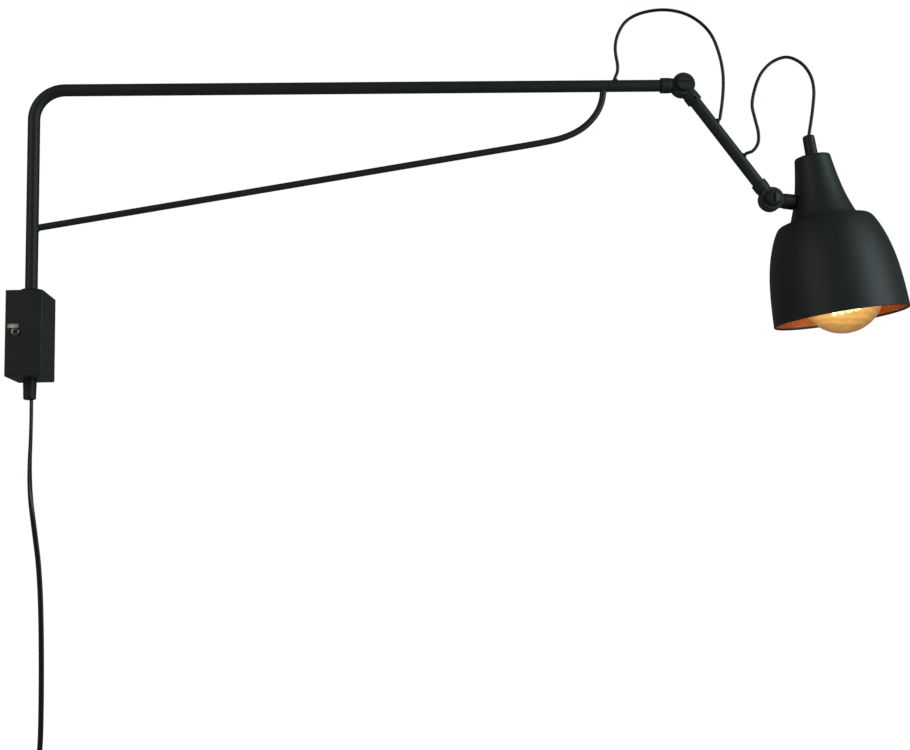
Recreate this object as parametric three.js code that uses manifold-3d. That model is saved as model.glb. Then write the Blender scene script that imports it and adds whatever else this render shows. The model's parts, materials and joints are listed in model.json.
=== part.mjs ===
// Swing arm wall lamp: a wall box, a post that turns in it, a long braced arm, a short second arm on
// a friction knuckle, and a bell shade on another. Millimetres, +Z up, +X out of the wall, and the
// origin on the wall at the middle of the mounting plate.
import * as THREE from "three";
import { mergeVertices } from "three/addons/utils/BufferGeometryUtils.js";
import Module from "manifold-3d";

// ---- Driving dimensions ----------------------------------------------------------------------

const GAP = 0.3; // air between pieces that touch or fit into each other

const BOX = { depth: 35, width: 60, height: 82, wall: 1.5 };
const PLATE = { thick: 1.5, width: 56.4, height: 70 };
const LOCK = { x: 9.9, z: 0.7, headR: 4.2, headH: 2.4, shankR: 1.7 };
const SLOT = { x0: 2, x1: 12.6, z0: 4.6, z1: 9 };
const TAB = { depth: 14, low: -5, high: 12 };
const WALL_SCREWS = { z: 26, halfLength: 7, r: 2.5 }; // level slots for two wall screws
const WINDOW = { halfWidth: 9, low: 8, high: 18 }; // lets a cable out of the wall into the box
const BUSH = { bodyR: 7.5, flangeR: 11.8, rim: 3, crownR: 9.2, crown: 5.2 };
const GLAND = { threadR: 5.7, hole: 6.1, gripR: 6.6, footR: 6, mouthR: 4.6 };

const TUBE = { r: 6, bore: 4.8 };
const POST_X = 17.5;
const POST_FOOT_Z = -12;
const ARM_Z = 245.3;
const BEND_R = 30;
const BRACE_R = 3.25;

const KNUCKLE = { r: 11.6, thick: 7, collarR: 7.8, collarFrom: 9, reach: 21.3, tubeStart: 14, boreR: 4 };
const ARM_SOCKET_REACH = 22.4;
const SCREW_CAP_R = 7.7;
const ELBOW = new THREE.Vector2(663.7, ARM_Z);
const SECOND_ARM_DROP = THREE.MathUtils.degToRad(55);
const SECOND_ARM_SPAN = 145.4;
const STUB_DROP = THREE.MathUtils.degToRad(7.6);

const SHADE_TILT = THREE.MathUtils.degToRad(6.5);
const SHADE_TOP = new THREE.Vector2(792.2, 167);
const SHADE_DEPTH = 162.4;
const CROWN_DEPTH = 63.1; // where the neck stands on the bell
const BULB_LEAN = THREE.MathUtils.degToRad(3.8); // the bulb hangs slightly askew in its holder
const SHEET = 1.2; // spun steel of the shade

const CABLE_R = 1.65; // the thin cable that loops round each knuckle
const CORD_R = 2.5; // the mains cord
const GLAND_FOOT_Z = -60.6;

const COLOR = {
  black: 0x1c201f,
  zinc: 0xc9ccc8,
  brass: 0xb08d57,
  rubber: 0x111212,
  bakelite: 0x191614,
  nylon: 0xe6e2d6,
  amber: 0xc98a4a,
  filament: 0xffc878,
};

// ---- Solids ----------------------------------------------------------------------------------

const wasm = await Module();
wasm.setup();

// A closed geometry as a solid, turned to face outwards when its profile ran the other way.
function solid(geometry) {
  const bare = geometry.index ? geometry.toNonIndexed() : geometry.clone();
  bare.deleteAttribute("normal");
  bare.deleteAttribute("uv");
  const merged = mergeVertices(bare, 1e-4);
  const triVerts = new Uint32Array(merged.index.array);
  const build = () => {
    const mesh = new wasm.Mesh({ numProp: 3, vertProperties: merged.attributes.position.array, triVerts });
    return new wasm.Manifold(mesh);
  };
  const made = build();
  if (made.volume() > 0) return made;
  for (let i = 0; i < triVerts.length; i += 3) {
    [triVerts[i + 1], triVerts[i + 2]] = [triVerts[i + 2], triVerts[i + 1]];
  }
  return build();
}

function geometryOf(made) {
  const mesh = made.getMesh();
  const geometry = new THREE.BufferGeometry();
  geometry.setAttribute("position", new THREE.BufferAttribute(new Float32Array(mesh.vertProperties), 3));
  geometry.setIndex(new THREE.BufferAttribute(new Uint32Array(mesh.triVerts), 1));
  return geometry;
}

const joined = (first, ...rest) => rest.reduce((sum, next) => sum.add(next), first);
const cut = (body, ...tools) => tools.reduce((left, tool) => left.subtract(tool), body);

// A block given by its lowest and highest corner.
function block(low, high) {
  const size = high.map((v, i) => v - low[i]);
  const middle = high.map((v, i) => (v + low[i]) / 2);
  return solid(new THREE.BoxGeometry(...size).translate(...middle));
}

// A turned piece: a profile of [radius, height] pairs spun about an axis through `at`, whose
// height runs along `axis`.
function turned(profile, { at = [0, 0, 0], axis = [0, 0, 1], sides = 24 } = {}) {
  const points = profile.map(([r, h]) => new THREE.Vector2(Math.max(r, 0), h));
  const geometry = new THREE.LatheGeometry(points, sides);
  const direction = new THREE.Vector3(...axis).normalize();
  const turn = new THREE.Quaternion().setFromUnitVectors(new THREE.Vector3(0, 1, 0), direction);
  return solid(geometry.applyQuaternion(turn).translate(...at));
}

const rod = (r, from, to, place) => turned([[0, from], [r, from], [r, to], [0, to]], place);

function ring(inner, outer, from, to, place) {
  return turned([[inner, from], [outer, from], [outer, to], [inner, to], [inner, from]], place);
}

function roundSection(r, bore) {
  const shape = new THREE.Shape().absarc(0, 0, r, 0, Math.PI * 2, false);
  if (bore) shape.holes.push(new THREE.Path().absarc(0, 0, bore, 0, Math.PI * 2, true));
  return shape;
}

// A route through chosen stations, each one a section of the sweep, so straight runs take one step.
class Stations extends THREE.Curve {
  constructor(points) {
    super();
    this.points = points;
  }
  getUtoTmapping(u) {
    return u;
  }
  getPoint(t) {
    const at = THREE.MathUtils.clamp(t, 0, 1) * (this.points.length - 1);
    const i = Math.min(Math.floor(at + 1e-9), this.points.length - 2);
    return this.points[i].clone().lerp(this.points[i + 1], at - i);
  }
  getTangent(t) {
    const at = Math.round(t * (this.points.length - 1));
    const before = this.points[Math.max(at - 1, 0)];
    const here = this.points[at];
    const after = this.points[Math.min(at + 1, this.points.length - 1)];
    const into = here.clone().sub(before).normalize();
    return after.clone().sub(here).normalize().add(into).normalize();
  }
}

function sweep(section, path, steps, sides) {
  const options = { extrudePath: path, steps, curveSegments: sides / 2, bevelEnabled: false };
  return solid(new THREE.ExtrudeGeometry(section, options));
}

const inPlane = ([x, z]) => new THREE.Vector3(x, 0, z);

function pipe(stations, r, bore, sides) {
  return sweep(roundSection(r, bore), new Stations(stations), stations.length - 1, sides);
}

// A soft cable on one smooth curve through its route points.
function cable(route, r, steps, sides) {
  return sweep(roundSection(r), new THREE.CatmullRomCurve3(route, false, "centripetal"), steps, sides);
}

// Points along an arc in the XZ plane, both ends included. Angles run from +X towards +Z.
function arc([cx, cz], r, from, to, steps) {
  return Array.from({ length: steps + 1 }, (_, i) => {
    const a = THREE.MathUtils.degToRad(from + ((to - from) * i) / steps);
    return new THREE.Vector3(cx + r * Math.cos(a), 0, cz + r * Math.sin(a));
  });
}

function hexNut(across, bore, from, to, place) {
  const blank = rod(across / Math.sqrt(3), from, to, { ...place, sides: 6 });
  return cut(blank, rod(bore, from - 1, to + 1, { ...place, sides: 16 }));
}

// ---- The lamp --------------------------------------------------------------------------------

const lamp = new THREE.Group();
lamp.name = "swing_arm_wall_lamp";

function add(name, made, color, roughness = 0.6, metalness = 0.3) {
  const material = new THREE.MeshStandardMaterial({ color, roughness, metalness });
  const mesh = new THREE.Mesh(geometryOf(made), material);
  mesh.name = name;
  lamp.add(mesh);
}

// Wall box: a zinc plate on the wall with a tab bent forward on each side, and a folded case that
// drops over the tabs and is held by a lock screw in each side wall, just below a sight slot.
function wallBox() {
  const { depth, width, height, wall } = BOX;
  const tabOuter = PLATE.width / 2;
  const plate = block([0, -tabOuter, -PLATE.height / 2], [PLATE.thick, tabOuter, PLATE.height / 2]);
  const screwSlots = [-WALL_SCREWS.z, WALL_SCREWS.z].map((z) =>
    block([-1, -WALL_SCREWS.halfLength, z - WALL_SCREWS.r], [3, WALL_SCREWS.halfLength, z + WALL_SCREWS.r]));
  const cableWindow = block([-1, -WINDOW.halfWidth, WINDOW.low], [3, WINDOW.halfWidth, WINDOW.high]);
  const tabs = [-1, 1].map((side) => {
    const faces = [side * (tabOuter - PLATE.thick), side * tabOuter].sort((a, b) => a - b);
    const hole = { at: [LOCK.x, 0, LOCK.z], axis: [0, 1, 0], sides: 12 };
    const tab = block([PLATE.thick / 3, faces[0], TAB.low], [TAB.depth, faces[1], TAB.high]);
    return cut(tab, rod(LOCK.shankR + GAP, faces[0] - 1, faces[1] + 1, hole));
  });
  add("wall_bracket", cut(joined(plate, ...tabs), ...screwSlots, cableWindow), COLOR.zinc, 0.35, 0.9);

  const half = { y: width / 2, z: height / 2 };
  const outer = block([GAP, -half.y, -half.z], [depth, half.y, half.z]);
  const inner = block([-1, wall - half.y, wall - half.z], [depth - wall, half.y - wall, half.z - wall]);
  const window = block([SLOT.x0, -half.y - 1, SLOT.z0], [SLOT.x1, half.y + 1, SLOT.z1]);
  const lockHoles = rod(LOCK.shankR + GAP, -half.y - 1, half.y + 1, {
    at: [LOCK.x, 0, LOCK.z], axis: [0, 1, 0], sides: 12,
  });
  const bushHole = rod(BUSH.bodyR + GAP, half.z - 5, half.z + 1, { at: [POST_X, 0, 0] });
  const glandHole = rod(GLAND.hole, -half.z - 1, 5 - half.z, { at: [POST_X, 0, 0] });
  add("wall_box", cut(outer, inner, window, lockHoles, bushHole, glandHole), COLOR.black);

  for (const [side, name] of [[-1, "lock_screw_front"], [1, "lock_screw_back"]]) {
    const place = { at: [LOCK.x, side * (half.y + GAP), LOCK.z], axis: [0, side, 0], sides: 16 };
    const { headR, headH, shankR } = LOCK;
    const dome = [[0, 0], [headR, 0], [headR, 1.1], [headR - 0.9, 2], [1.8, headH], [0, headH]];
    const drive = { y: side * (half.y + 3), deep: 1.6, half: 0.5 };
    const slot = block([LOCK.x - headR - 1, drive.y - drive.deep, LOCK.z - drive.half],
      [LOCK.x + headR + 1, drive.y + drive.deep, LOCK.z + drive.half]);
    add(name, cut(joined(turned(dome, place), rod(shankR, -7, 0.5, place)), slot), COLOR.black, 0.4, 0.6);
  }
}

// Post bearings: a flanged bush in the roof of the box, a steel shelf half way down with a second
// bush, and a collar clamped on the post that carries its weight on the lower bush.
const SHELF = { z: -6, thick: 2 };
const COLLAR = { r: 10, low: -1.9, high: 8 };

function postBearings() {
  const at = { at: [POST_X, 0, 0] };
  const roof = BOX.height / 2;
  const bore = TUBE.r + GAP;
  const bushFoot = roof - 14;
  const { bodyR, flangeR, rim, crownR, crown } = BUSH;
  add("post_bush", turned([
    [bore, bushFoot], [bodyR, bushFoot], [bodyR, roof + GAP], [flangeR, roof + GAP],
    [flangeR, roof + rim], [crownR, roof + crown], [bore, roof + crown], [bore, bushFoot],
  ], at), COLOR.black);
  const floor = { low: SHELF.z - SHELF.thick, high: SHELF.z };
  const inset = BOX.wall + GAP;
  const half = BOX.width / 2 - inset;
  const shelf = block([3, -half, floor.low], [BOX.depth - inset, half, floor.high]);
  const tabY = PLATE.width / 2 - PLATE.thick / 2;
  const corners = [-1, 1].map((side) =>
    block([0, side * tabY - 3, floor.low - 1], [TAB.depth + 1, side * tabY + 3, floor.high + 1]));
  const bushHole = rod(bodyR + GAP, floor.low - 1, floor.high + 1, at);
  add("bearing_shelf", cut(shelf, bushHole, ...corners), COLOR.zinc, 0.4, 0.8);
  add("lower_bush", turned([
    [bore, -11], [bodyR, -11], [bodyR, floor.high + GAP], [9.5, floor.high + GAP],
    [9.5, COLLAR.low - GAP], [bore, COLLAR.low - GAP], [bore, -11],
  ], at), COLOR.brass, 0.4, 0.9);
  const screwHole = { at: [POST_X, 0, 3], axis: [1, 0, 0], sides: 10 };
  const collar = ring(bore, COLLAR.r, COLLAR.low, COLLAR.high, at);
  add("post_collar", cut(collar, rod(2.3, 0, COLLAR.r + 2, screwHole)), COLOR.zinc, 0.35, 0.9);
  add("collar_set_screw", rod(2, bore + 0.1, 10.5, { ...screwHole, sides: 12 }), COLOR.black, 0.4, 0.7);
}

// Wiring in the box: the cord's gland with its locknut, and a two-way terminal block on the plate.
function boxWiring() {
  const at = { at: [POST_X, 0, 0] };
  const floor = -BOX.height / 2;
  const { threadR, gripR, footR, mouthR } = GLAND;
  add("mains_gland", turned([
    [0, GLAND_FOOT_Z], [mouthR, GLAND_FOOT_Z], [footR, GLAND_FOOT_Z + 0.9], [gripR, floor - 4.5],
    [gripR, floor - GAP], [threadR, floor - GAP], [threadR, floor + 6], [0, floor + 6],
  ], at), COLOR.rubber, 0.5, 0);
  const inside = floor + BOX.wall;
  add("gland_locknut", hexNut(15, threadR + GAP, inside + GAP, inside + 3.8, at), COLOR.bakelite, 0.5, 0);
  const body = block([2.2, -12, -32], [14, 12, -18]);
  const wireWays = [-6, 6].map((y) => rod(2.3, -33, -17, { at: [8.1, y, 0], sides: 12 }));
  const ledge = [-1, 1].map((side) => block([1.9, side * 12 - 2, -27.5], [7, side * 12 + 2, -22.5]));
  add("terminal_block", cut(body, ...wireWays, ...ledge), COLOR.nylon, 0.5, 0);
}

// Main arm: one tube, upright from the box, bent to the horizontal and run out to the elbow, with a
// drilled hole for each end of the brace rod and one on top where the cable comes out.
// The brace climbs in a straight line, then sweeps up and runs square into the arm from below.
const BRACE_ROUTE = [
  [POST_X + 4.6, 106.9], [505, 184.9], [522, 187.9], [537, 191.2], [550, 196], [561, 202.4],
  [570, 210.6], [576.8, 220], [581, 230], [582.9, ARM_Z - 4.6],
];

const CABLE_EXIT_X = 595.3;
const GROMMET = { bodyR: 2.3, lipR: 2.8, lip: 1.3 };

function mainArm() {
  const armEnd = ELBOW.x - KNUCKLE.tubeStart;
  const corner = [POST_X + BEND_R, ARM_Z - BEND_R];
  const bend = arc(corner, BEND_R, 180, 90, 9);
  const route = [inPlane([POST_X, POST_FOOT_Z]), ...bend, inPlane([armEnd, ARM_Z])];
  const tube = pipe(route, TUBE.r, TUBE.bore, 20);
  const braceFoot = { at: [POST_X, 0, 106.2], axis: [0.987, 0, 0.161], sides: 16 };
  const braceHead = { at: [BRACE_ROUTE.at(-1)[0], 0, ARM_Z], axis: [0.02, 0, -1], sides: 16 };
  const cableHole = { at: [CABLE_EXIT_X, 0, ARM_Z], sides: 12 };
  const drills = [
    rod(BRACE_R + 0.4, 0, 2 * TUBE.r, braceFoot),
    rod(BRACE_R + 0.4, 0, 2 * TUBE.r, braceHead),
    rod(GROMMET.bodyR + 0.4, 0, 2 * TUBE.r, cableHole),
  ];
  add("main_arm", cut(tube, ...drills), COLOR.black);
  const brace = BRACE_ROUTE.map(inPlane);
  add("brace_rod", pipe(brace, BRACE_R, 0, 12), COLOR.black);
  grommet("arm_grommet", [CABLE_EXIT_X, 0, ARM_Z], [0, 0, 1]);
}

// A rubber grommet in a drilled hole of a tube, its collar standing just proud of the wall.
function grommet(name, at, axis) {
  const { bodyR, lipR, lip } = GROMMET;
  add(name, turned([
    [0, TUBE.bore + 0.2], [bodyR, TUBE.bore + 0.2], [bodyR, TUBE.r + GAP], [lipR, TUBE.r + GAP],
    [lipR - 0.2, TUBE.r + lip], [0, TUBE.r + lip],
  ], { at, axis, sides: 12 }), COLOR.rubber, 0.7, 0);
}

// One half of a friction knuckle: a disc on one side of the joint's middle plane and a socket that
// takes a tube end, cut back where the other half's disc turns.
function knuckleHalf(pivot, side, drop, { reach, socket, setScrew }) {
  const centre = [pivot.x, 0, pivot.y];
  const towards = [Math.cos(drop), 0, -Math.sin(drop)];
  const { r, thick, collarR, collarFrom, boreR } = KNUCKLE;
  const across = { at: centre, axis: [0, side, 0] };
  const discLine = [[0, 0.15], [r, 0.15], [r, thick - 1], [r - 1, thick], [0, thick]];
  const disc = turned(discLine, { ...across, sides: 28 });
  const collar = turned([
    [0, collarFrom], [collarR, collarFrom], [collarR, reach - 0.6], [collarR - 0.6, reach], [0, reach],
  ], { at: centre, axis: towards });
  const otherDisc = rod(r + GAP, -(thick + 4), 0.15, { ...across, sides: 28 });
  let half = cut(joined(disc, collar), otherDisc, rod(boreR + GAP, -1, thick + 1, { ...across, sides: 16 }));
  if (socket) {
    const well = { at: centre, axis: towards };
    half = half.subtract(rod(TUBE.r + GAP, KNUCKLE.tubeStart - GAP, reach + 1, well));
  }
  if (setScrew) {
    const spot = centre.map((v, i) => v + towards[i] * 18.5);
    half = half.subtract(rod(1.5, 4, 9, { at: spot, axis: [0, -1, 0], sides: 10 }));
  }
  return half;
}

// The pivot screw: a broad slotted cap on the near side, its shank through both discs, then a
// washer and a thin nut on the far side.
function knuckleScrew(name, pivot, slotAlongZ, domed) {
  const at = { at: [pivot.x, 0, pivot.y], axis: [0, -1, 0], sides: 24 };
  const seat = KNUCKLE.thick + GAP;
  const top = seat + (domed ? 5 : 3.6);
  const capR = SCREW_CAP_R;
  const profile = domed
    ? [[0, seat], [capR, seat], [capR, seat + 2.2], [capR - 0.8, seat + 3.6], [capR - 2.8, top], [0, top]]
    : [[0, seat], [capR, seat], [capR, top - 0.8], [capR - 0.8, top], [0, top]];
  const shank = rod(KNUCKLE.boreR, -(KNUCKLE.thick + 6.8), seat + 1, at);
  const slotHalf = slotAlongZ ? [1.2, 9] : [9, 1.8];
  const slot = block([pivot.x - slotHalf[0], -top - 1, pivot.y - slotHalf[1]],
    [pivot.x + slotHalf[0], -top + 1.5, pivot.y + slotHalf[1]]);
  add(name + "_screw", cut(joined(turned(profile, at), shank), slot), COLOR.black);
  const behind = { at: [pivot.x, 0, pivot.y], axis: [0, 1, 0] };
  const bore = KNUCKLE.boreR + GAP;
  const washerTop = seat + 1.3;
  const nutSeat = washerTop + GAP;
  add(name + "_spring_washer", ring(bore, 7.4, seat, washerTop, behind), COLOR.zinc, 0.35, 0.9);
  add(name + "_nut", hexNut(13, bore, nutSeat, nutSeat + 4, behind), COLOR.black);
}

const KNEE = new THREE.Vector2(
  ELBOW.x + SECOND_ARM_SPAN * Math.cos(SECOND_ARM_DROP),
  ELBOW.y - SECOND_ARM_SPAN * Math.sin(SECOND_ARM_DROP),
);
// Where the two cables meet the second arm, measured along it from the elbow.
const UPPER_HOLE_AT = 50;
const LOWER_HOLE_AT = 93.9;

function secondArmFrame() {
  const along = [Math.cos(SECOND_ARM_DROP), 0, -Math.sin(SECOND_ARM_DROP)];
  const upwards = [Math.sin(SECOND_ARM_DROP), 0, Math.cos(SECOND_ARM_DROP)];
  const spot = (distance) => [ELBOW.x + along[0] * distance, 0, ELBOW.y + along[2] * distance];
  return { along, upwards, spot };
}

function elbowAndSecondArm() {
  const socket = { reach: KNUCKLE.reach, socket: true };
  const armSocket = { ...socket, reach: ARM_SOCKET_REACH };
  add("elbow_fixed_half", knuckleHalf(ELBOW, 1, Math.PI, armSocket), COLOR.black);
  const drilledSocket = { ...socket, setScrew: true };
  add("elbow_moving_half", knuckleHalf(ELBOW, -1, SECOND_ARM_DROP, drilledSocket), COLOR.black);
  knuckleScrew("elbow", ELBOW, false, false);

  const { along, upwards, spot } = secondArmFrame();
  const ends = [KNUCKLE.tubeStart, SECOND_ARM_SPAN - KNUCKLE.tubeStart];
  const tube = ring(TUBE.bore, TUBE.r, ends[0], ends[1], { at: spot(0), axis: along });
  const holes = [UPPER_HOLE_AT, LOWER_HOLE_AT].map((distance) =>
    rod(GROMMET.bodyR + 0.4, 0, 2 * TUBE.r, { at: spot(distance), axis: upwards, sides: 12 }));
  add("second_arm", cut(tube, ...holes), COLOR.black);
  grommet("second_arm_upper_grommet", spot(UPPER_HOLE_AT), upwards);
  grommet("second_arm_lower_grommet", spot(LOWER_HOLE_AT), upwards);
}

// Shade carrier: the second knuckle, whose moving half ends in a threaded stub through the neck.
const STUB_REACH = 23.6;
const STUB_R = 4.8;

function shadeKnuckle() {
  const socket = { reach: KNUCKLE.reach, socket: true };
  add("tilt_fixed_half", knuckleHalf(KNEE, -1, SECOND_ARM_DROP + Math.PI, socket), COLOR.black);
  const half = knuckleHalf(KNEE, 1, STUB_DROP, { reach: STUB_REACH });
  const out = { at: [KNEE.x, 0, KNEE.y], axis: [Math.cos(STUB_DROP), 0, -Math.sin(STUB_DROP)] };
  const stub = rod(STUB_R, STUB_REACH - 1, STUB_REACH + 7, { ...out, sides: 16 });
  add("tilt_moving_half", joined(half, stub), COLOR.black);
  knuckleScrew("tilt", KNEE, true, true);
  add("stub_nut", hexNut(14, STUB_R + GAP, STUB_REACH + 3.7, STUB_REACH + 6.9, out), COLOR.zinc, 0.35, 0.9);
}

// ---- The shade, its holder and its bulb, all turned about the shade's own axis -----------------

// Depth below the neck's top, measured along the shade's axis, against radius.
const NECK = [
  [15.4, -3], [17, -2.5], [17.8, -0.8], [18.1, 1.8], [19.6, 12], [21.7, 24],
  [24.3, 36], [27.1, 46], [29.9, 54], [33.4, CROWN_DEPTH - 0.9],
];
const BELL = [
  [21, CROWN_DEPTH], [39.5, CROWN_DEPTH + 0.1], [43.6, 64.3], [46.3, 66.5], [49.3, 71.5], [53.1, 80],
  [58, 95], [61.6, 112], [63.8, 130], [65, 147], [65.7, SHADE_DEPTH],
];

const shadeAxis = [-Math.sin(SHADE_TILT), 0, Math.cos(SHADE_TILT)];
const onShade = (sides = 24) => ({ at: [SHADE_TOP.x, 0, SHADE_TOP.y], axis: shadeAxis, sides });
const upsideDown = (profile) => profile.map(([r, depth]) => [r, -depth]);
const turnedOnShade = (profile, sides) => turned(upsideDown(profile), onShade(sides));

// A sheet-metal wall: the outer profile, and the same line moved in square to itself by the sheet.
function sheetProfile(outer) {
  const inner = outer.map(([r, d], i) => {
    const before = outer[Math.max(i - 1, 0)];
    const after = outer[Math.min(i + 1, outer.length - 1)];
    const run = Math.hypot(after[0] - before[0], after[1] - before[1]);
    return [r - (SHEET * (after[1] - before[1])) / run, d + (SHEET * (after[0] - before[0])) / run];
  });
  return [...outer, ...inner.reverse(), outer[0]];
}

function shade() {
  const stubHole = rod(STUB_R + GAP, 12, 34, {
    at: [KNEE.x, 0, KNEE.y], axis: [Math.cos(STUB_DROP), 0, -Math.sin(STUB_DROP)], sides: 16,
  });
  const neckWall = sheetProfile([[5.2, -3], ...NECK]);
  add("shade_neck", cut(turnedOnShade(neckWall, 30), stubHole), COLOR.black);
  add("shade_bell", turnedOnShade(sheetProfile(BELL), 36), COLOR.black);

  add("shade_gland", turnedOnShade([
    [0, -25], [4.6, -25], [6.1, -23.6], [6.1, -3.3], [STUB_R, -3.3], [STUB_R, 9], [0, 9],
  ], 20), COLOR.rubber, 0.5, 0);
  const nut = hexNut(15, STUB_R + GAP, -1.4, 2.6, { ...onShade(), axis: shadeAxis.map((v) => -v) });
  add("gland_nut", nut, COLOR.zinc, 0.35, 0.9);

  add("lamp_holder", turnedOnShade([
    [0, 9.4], [10, 9.4], [16, 14], [16, 26], [17.2, 27], [17.2, 52], [18.8, 53], [18.8, 79],
    [14.4, 79], [14.4, 59.6], [0, 59.6],
  ], 28), COLOR.bakelite, 0.45, 0);
  const ringTop = CROWN_DEPTH + SHEET + GAP;
  const ringFoot = ringTop + 7;
  add("holder_ring", turnedOnShade([
    [19.1, ringTop], [25.6, ringTop], [25.6, ringFoot - 1.4], [24.2, ringFoot], [19.1, ringFoot],
    [19.1, ringTop],
  ], 28), COLOR.bakelite, 0.45, 0);
}

// The bulb: a screw cap, a blown globe open at the cap, and the glass stem that carries the filament.
// Its own axis leans from the shade's about a point inside the holder.
const GLOBE = { r: 40, centre: 138.6, wall: 0.9, neckR: 15 };
const BULB_PIVOT = 70;

const bulbAxis = [-Math.sin(SHADE_TILT + BULB_LEAN), 0, Math.cos(SHADE_TILT + BULB_LEAN)];
const bulbTop = new THREE.Vector3(SHADE_TOP.x, 0, SHADE_TOP.y)
  .addScaledVector(new THREE.Vector3(...shadeAxis), -BULB_PIVOT)
  .addScaledVector(new THREE.Vector3(...bulbAxis), BULB_PIVOT);
const onBulb = { at: bulbTop.toArray(), axis: bulbAxis };
const turnedOnBulb = (profile, sides) => turned(upsideDown(profile), { ...onBulb, sides });

const ARC_STEPS = 9;

function globeProfile() {
  const { r, centre, wall, neckR } = GLOBE;
  const start = Math.PI - Math.asin((neckR + 3) / r);
  const outerArc = Array.from({ length: ARC_STEPS + 1 }, (_, i) => {
    const a = start * (1 - i / ARC_STEPS);
    return [r * Math.sin(a), centre + r * Math.cos(a)];
  });
  const inner = r - wall;
  const moveIn = ([radius, depth]) => [(radius * inner) / r, centre + ((depth - centre) * inner) / r];
  const innerArc = outerArc.map(moveIn).reverse();
  const neckOut = [[neckR, 84.6], [neckR, 94], [neckR + 0.8, 99.6]];
  const neckIn = [[neckR - 0.2, 100], [neckR - wall, 94.2], [neckR - wall, 84.6], [neckR, 84.6]];
  return [...neckOut, ...outerArc, ...innerArc, ...neckIn];
}

function bulb() {
  add("bulb_cap", turnedOnBulb([
    [0, 60.2], [4, 60.2], [5, 62], [11.5, 64.5], [13.2, 66], [13.2, 84.2], [12, 84.2], [12, 68], [0, 68],
  ], 24), COLOR.brass, 0.35, 0.9);
  add("bulb_globe", turnedOnBulb(globeProfile(), 24), COLOR.amber, 0.05, 0);
  const stem = [[0, 85], [9, 85], [9, 88], [4, 94], [2.2, 104], [1.6, 136], [0, 136]];
  add("bulb_stem", turnedOnBulb(stem, 12), COLOR.amber, 0.1, 0);
  add("bulb_filament", filamentCage(), COLOR.filament, 0.4, 0);
}

// Eight lit strands on a cage round the stem, bound by a wire ring at each end.
function filamentCage() {
  const strands = 8;
  const top = { r: 5, depth: 122 };
  const foot = { r: 14, depth: 155 };
  const upright = new THREE.Vector3(0, 1, 0);
  const lean = new THREE.Quaternion().setFromUnitVectors(upright, new THREE.Vector3(...bulbAxis));
  const place = (r, depth, a) =>
    new THREE.Vector3(r * Math.cos(a), -depth, r * Math.sin(a)).applyQuaternion(lean).add(bulbTop);
  const parts = Array.from({ length: strands }, (_, i) => {
    const a = (i / strands) * Math.PI * 2;
    return pipe([place(top.r, top.depth, a), place(foot.r, foot.depth, a)], 0.9, 0, 4);
  });
  const wire = 0.7;
  const hoop = ({ r, depth }) => turnedOnBulb([
    [r - wire, depth - wire], [r + wire, depth - wire], [r + wire, depth + wire],
    [r - wire, depth + wire], [r - wire, depth - wire],
  ], 8);
  return joined(hoop(top), hoop(foot), ...parts);
}

// ---- Cables ------------------------------------------------------------------------------------

// The cable inside the tubes, and the two free loops that carry it past the knuckles.
const UPPER_LOOP = [
  [595.3, 253.9], [597.8, 259], [598.7, 266.5], [597.3, 277.9], [597.2, 287.4], [600.6, 300], [609, 313],
  [623.5, 321.4], [649, 325.4], [670.4, 321.1], [686, 311.2], [696.3, 298.4], [703.1, 278.6],
  [705.9, 259.2], [705.5, 243.4], [703.2, 226], [701.1, 215.4], [699.5, 209],
];
const LOWER_LOOP = [
  [724.9, 174], [731.5, 176.3], [737.4, 184.1], [738.6, 195.1], [736, 210], [733.9, 223.8], [737.7, 241.1],
  [745.5, 257.9], [758.2, 269.9], [773.4, 274.4], [788, 267.2], [796.3, 254], [798.4, 240], [796.6, 224],
  [793.6, 208], [790.3, 193],
];

function lampCables() {
  const armRun = [
    inPlane([POST_X, POST_FOOT_Z - 2]), ...arc([POST_X + BEND_R, ARM_Z - BEND_R], BEND_R, 180, 90, 6),
    ...[[572, ARM_Z], [586, ARM_Z + 1.2], [592, ARM_Z + 2.6]].map(inPlane),
  ];
  add("inner_arm_cable", pipe(armRun, CABLE_R, 0, 6), COLOR.rubber, 0.5, 0);
  const { along, spot } = secondArmFrame();
  const shortRun = rod(CABLE_R, UPPER_HOLE_AT + 2, LOWER_HOLE_AT - 2, { at: spot(0), axis: along, sides: 6 });
  add("inner_second_arm_cable", shortRun, COLOR.rubber, 0.5, 0);
  add("upper_cable_loop", cable(UPPER_LOOP.map(inPlane), CABLE_R, 38, 8), COLOR.rubber, 0.5, 0);
  add("lower_cable_loop", cable(LOWER_LOOP.map(inPlane), CABLE_R, 32, 8), COLOR.rubber, 0.5, 0);
}

// The mains cord: down from the gland in a lazy curve, then into a tied coil with its plug below.
const CORD_ROUTE = [
  [19.2, 0, GLAND_FOOT_Z - GAP], [19.3, 0, -80], [19.1, 0, -99], [18.6, 0, -118], [18.8, 0, -137],
  [20.1, 0, -156], [22.6, 0, -175], [25.3, 0, -194], [27.9, 0, -214], [30, 0, -240], [31.3, 0, -270],
  [32.1, 0, -304], [32.5, 0, -345], [32.2, 0, -376], [30.8, 0.5, -397], [29.4, 1.6, -411],
  [29.1, 2.2, -421.5],
];
const COIL = { x: 34, midR: 27.5, z: -446, half: 7.8, inner: 19.6, outer: 35.4 };
const CORD_TAIL = [[36.6, 2.2, -468.6], [35.1, 0.8, -476], [34.1, 0.1, -483.3]];
const PLUG = { top: -484, shoulder: -507, foot: -520, half: 17.6, thick: 13.6 };
const PIN = { r: 2, spread: 9.3, length: 19 };

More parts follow.
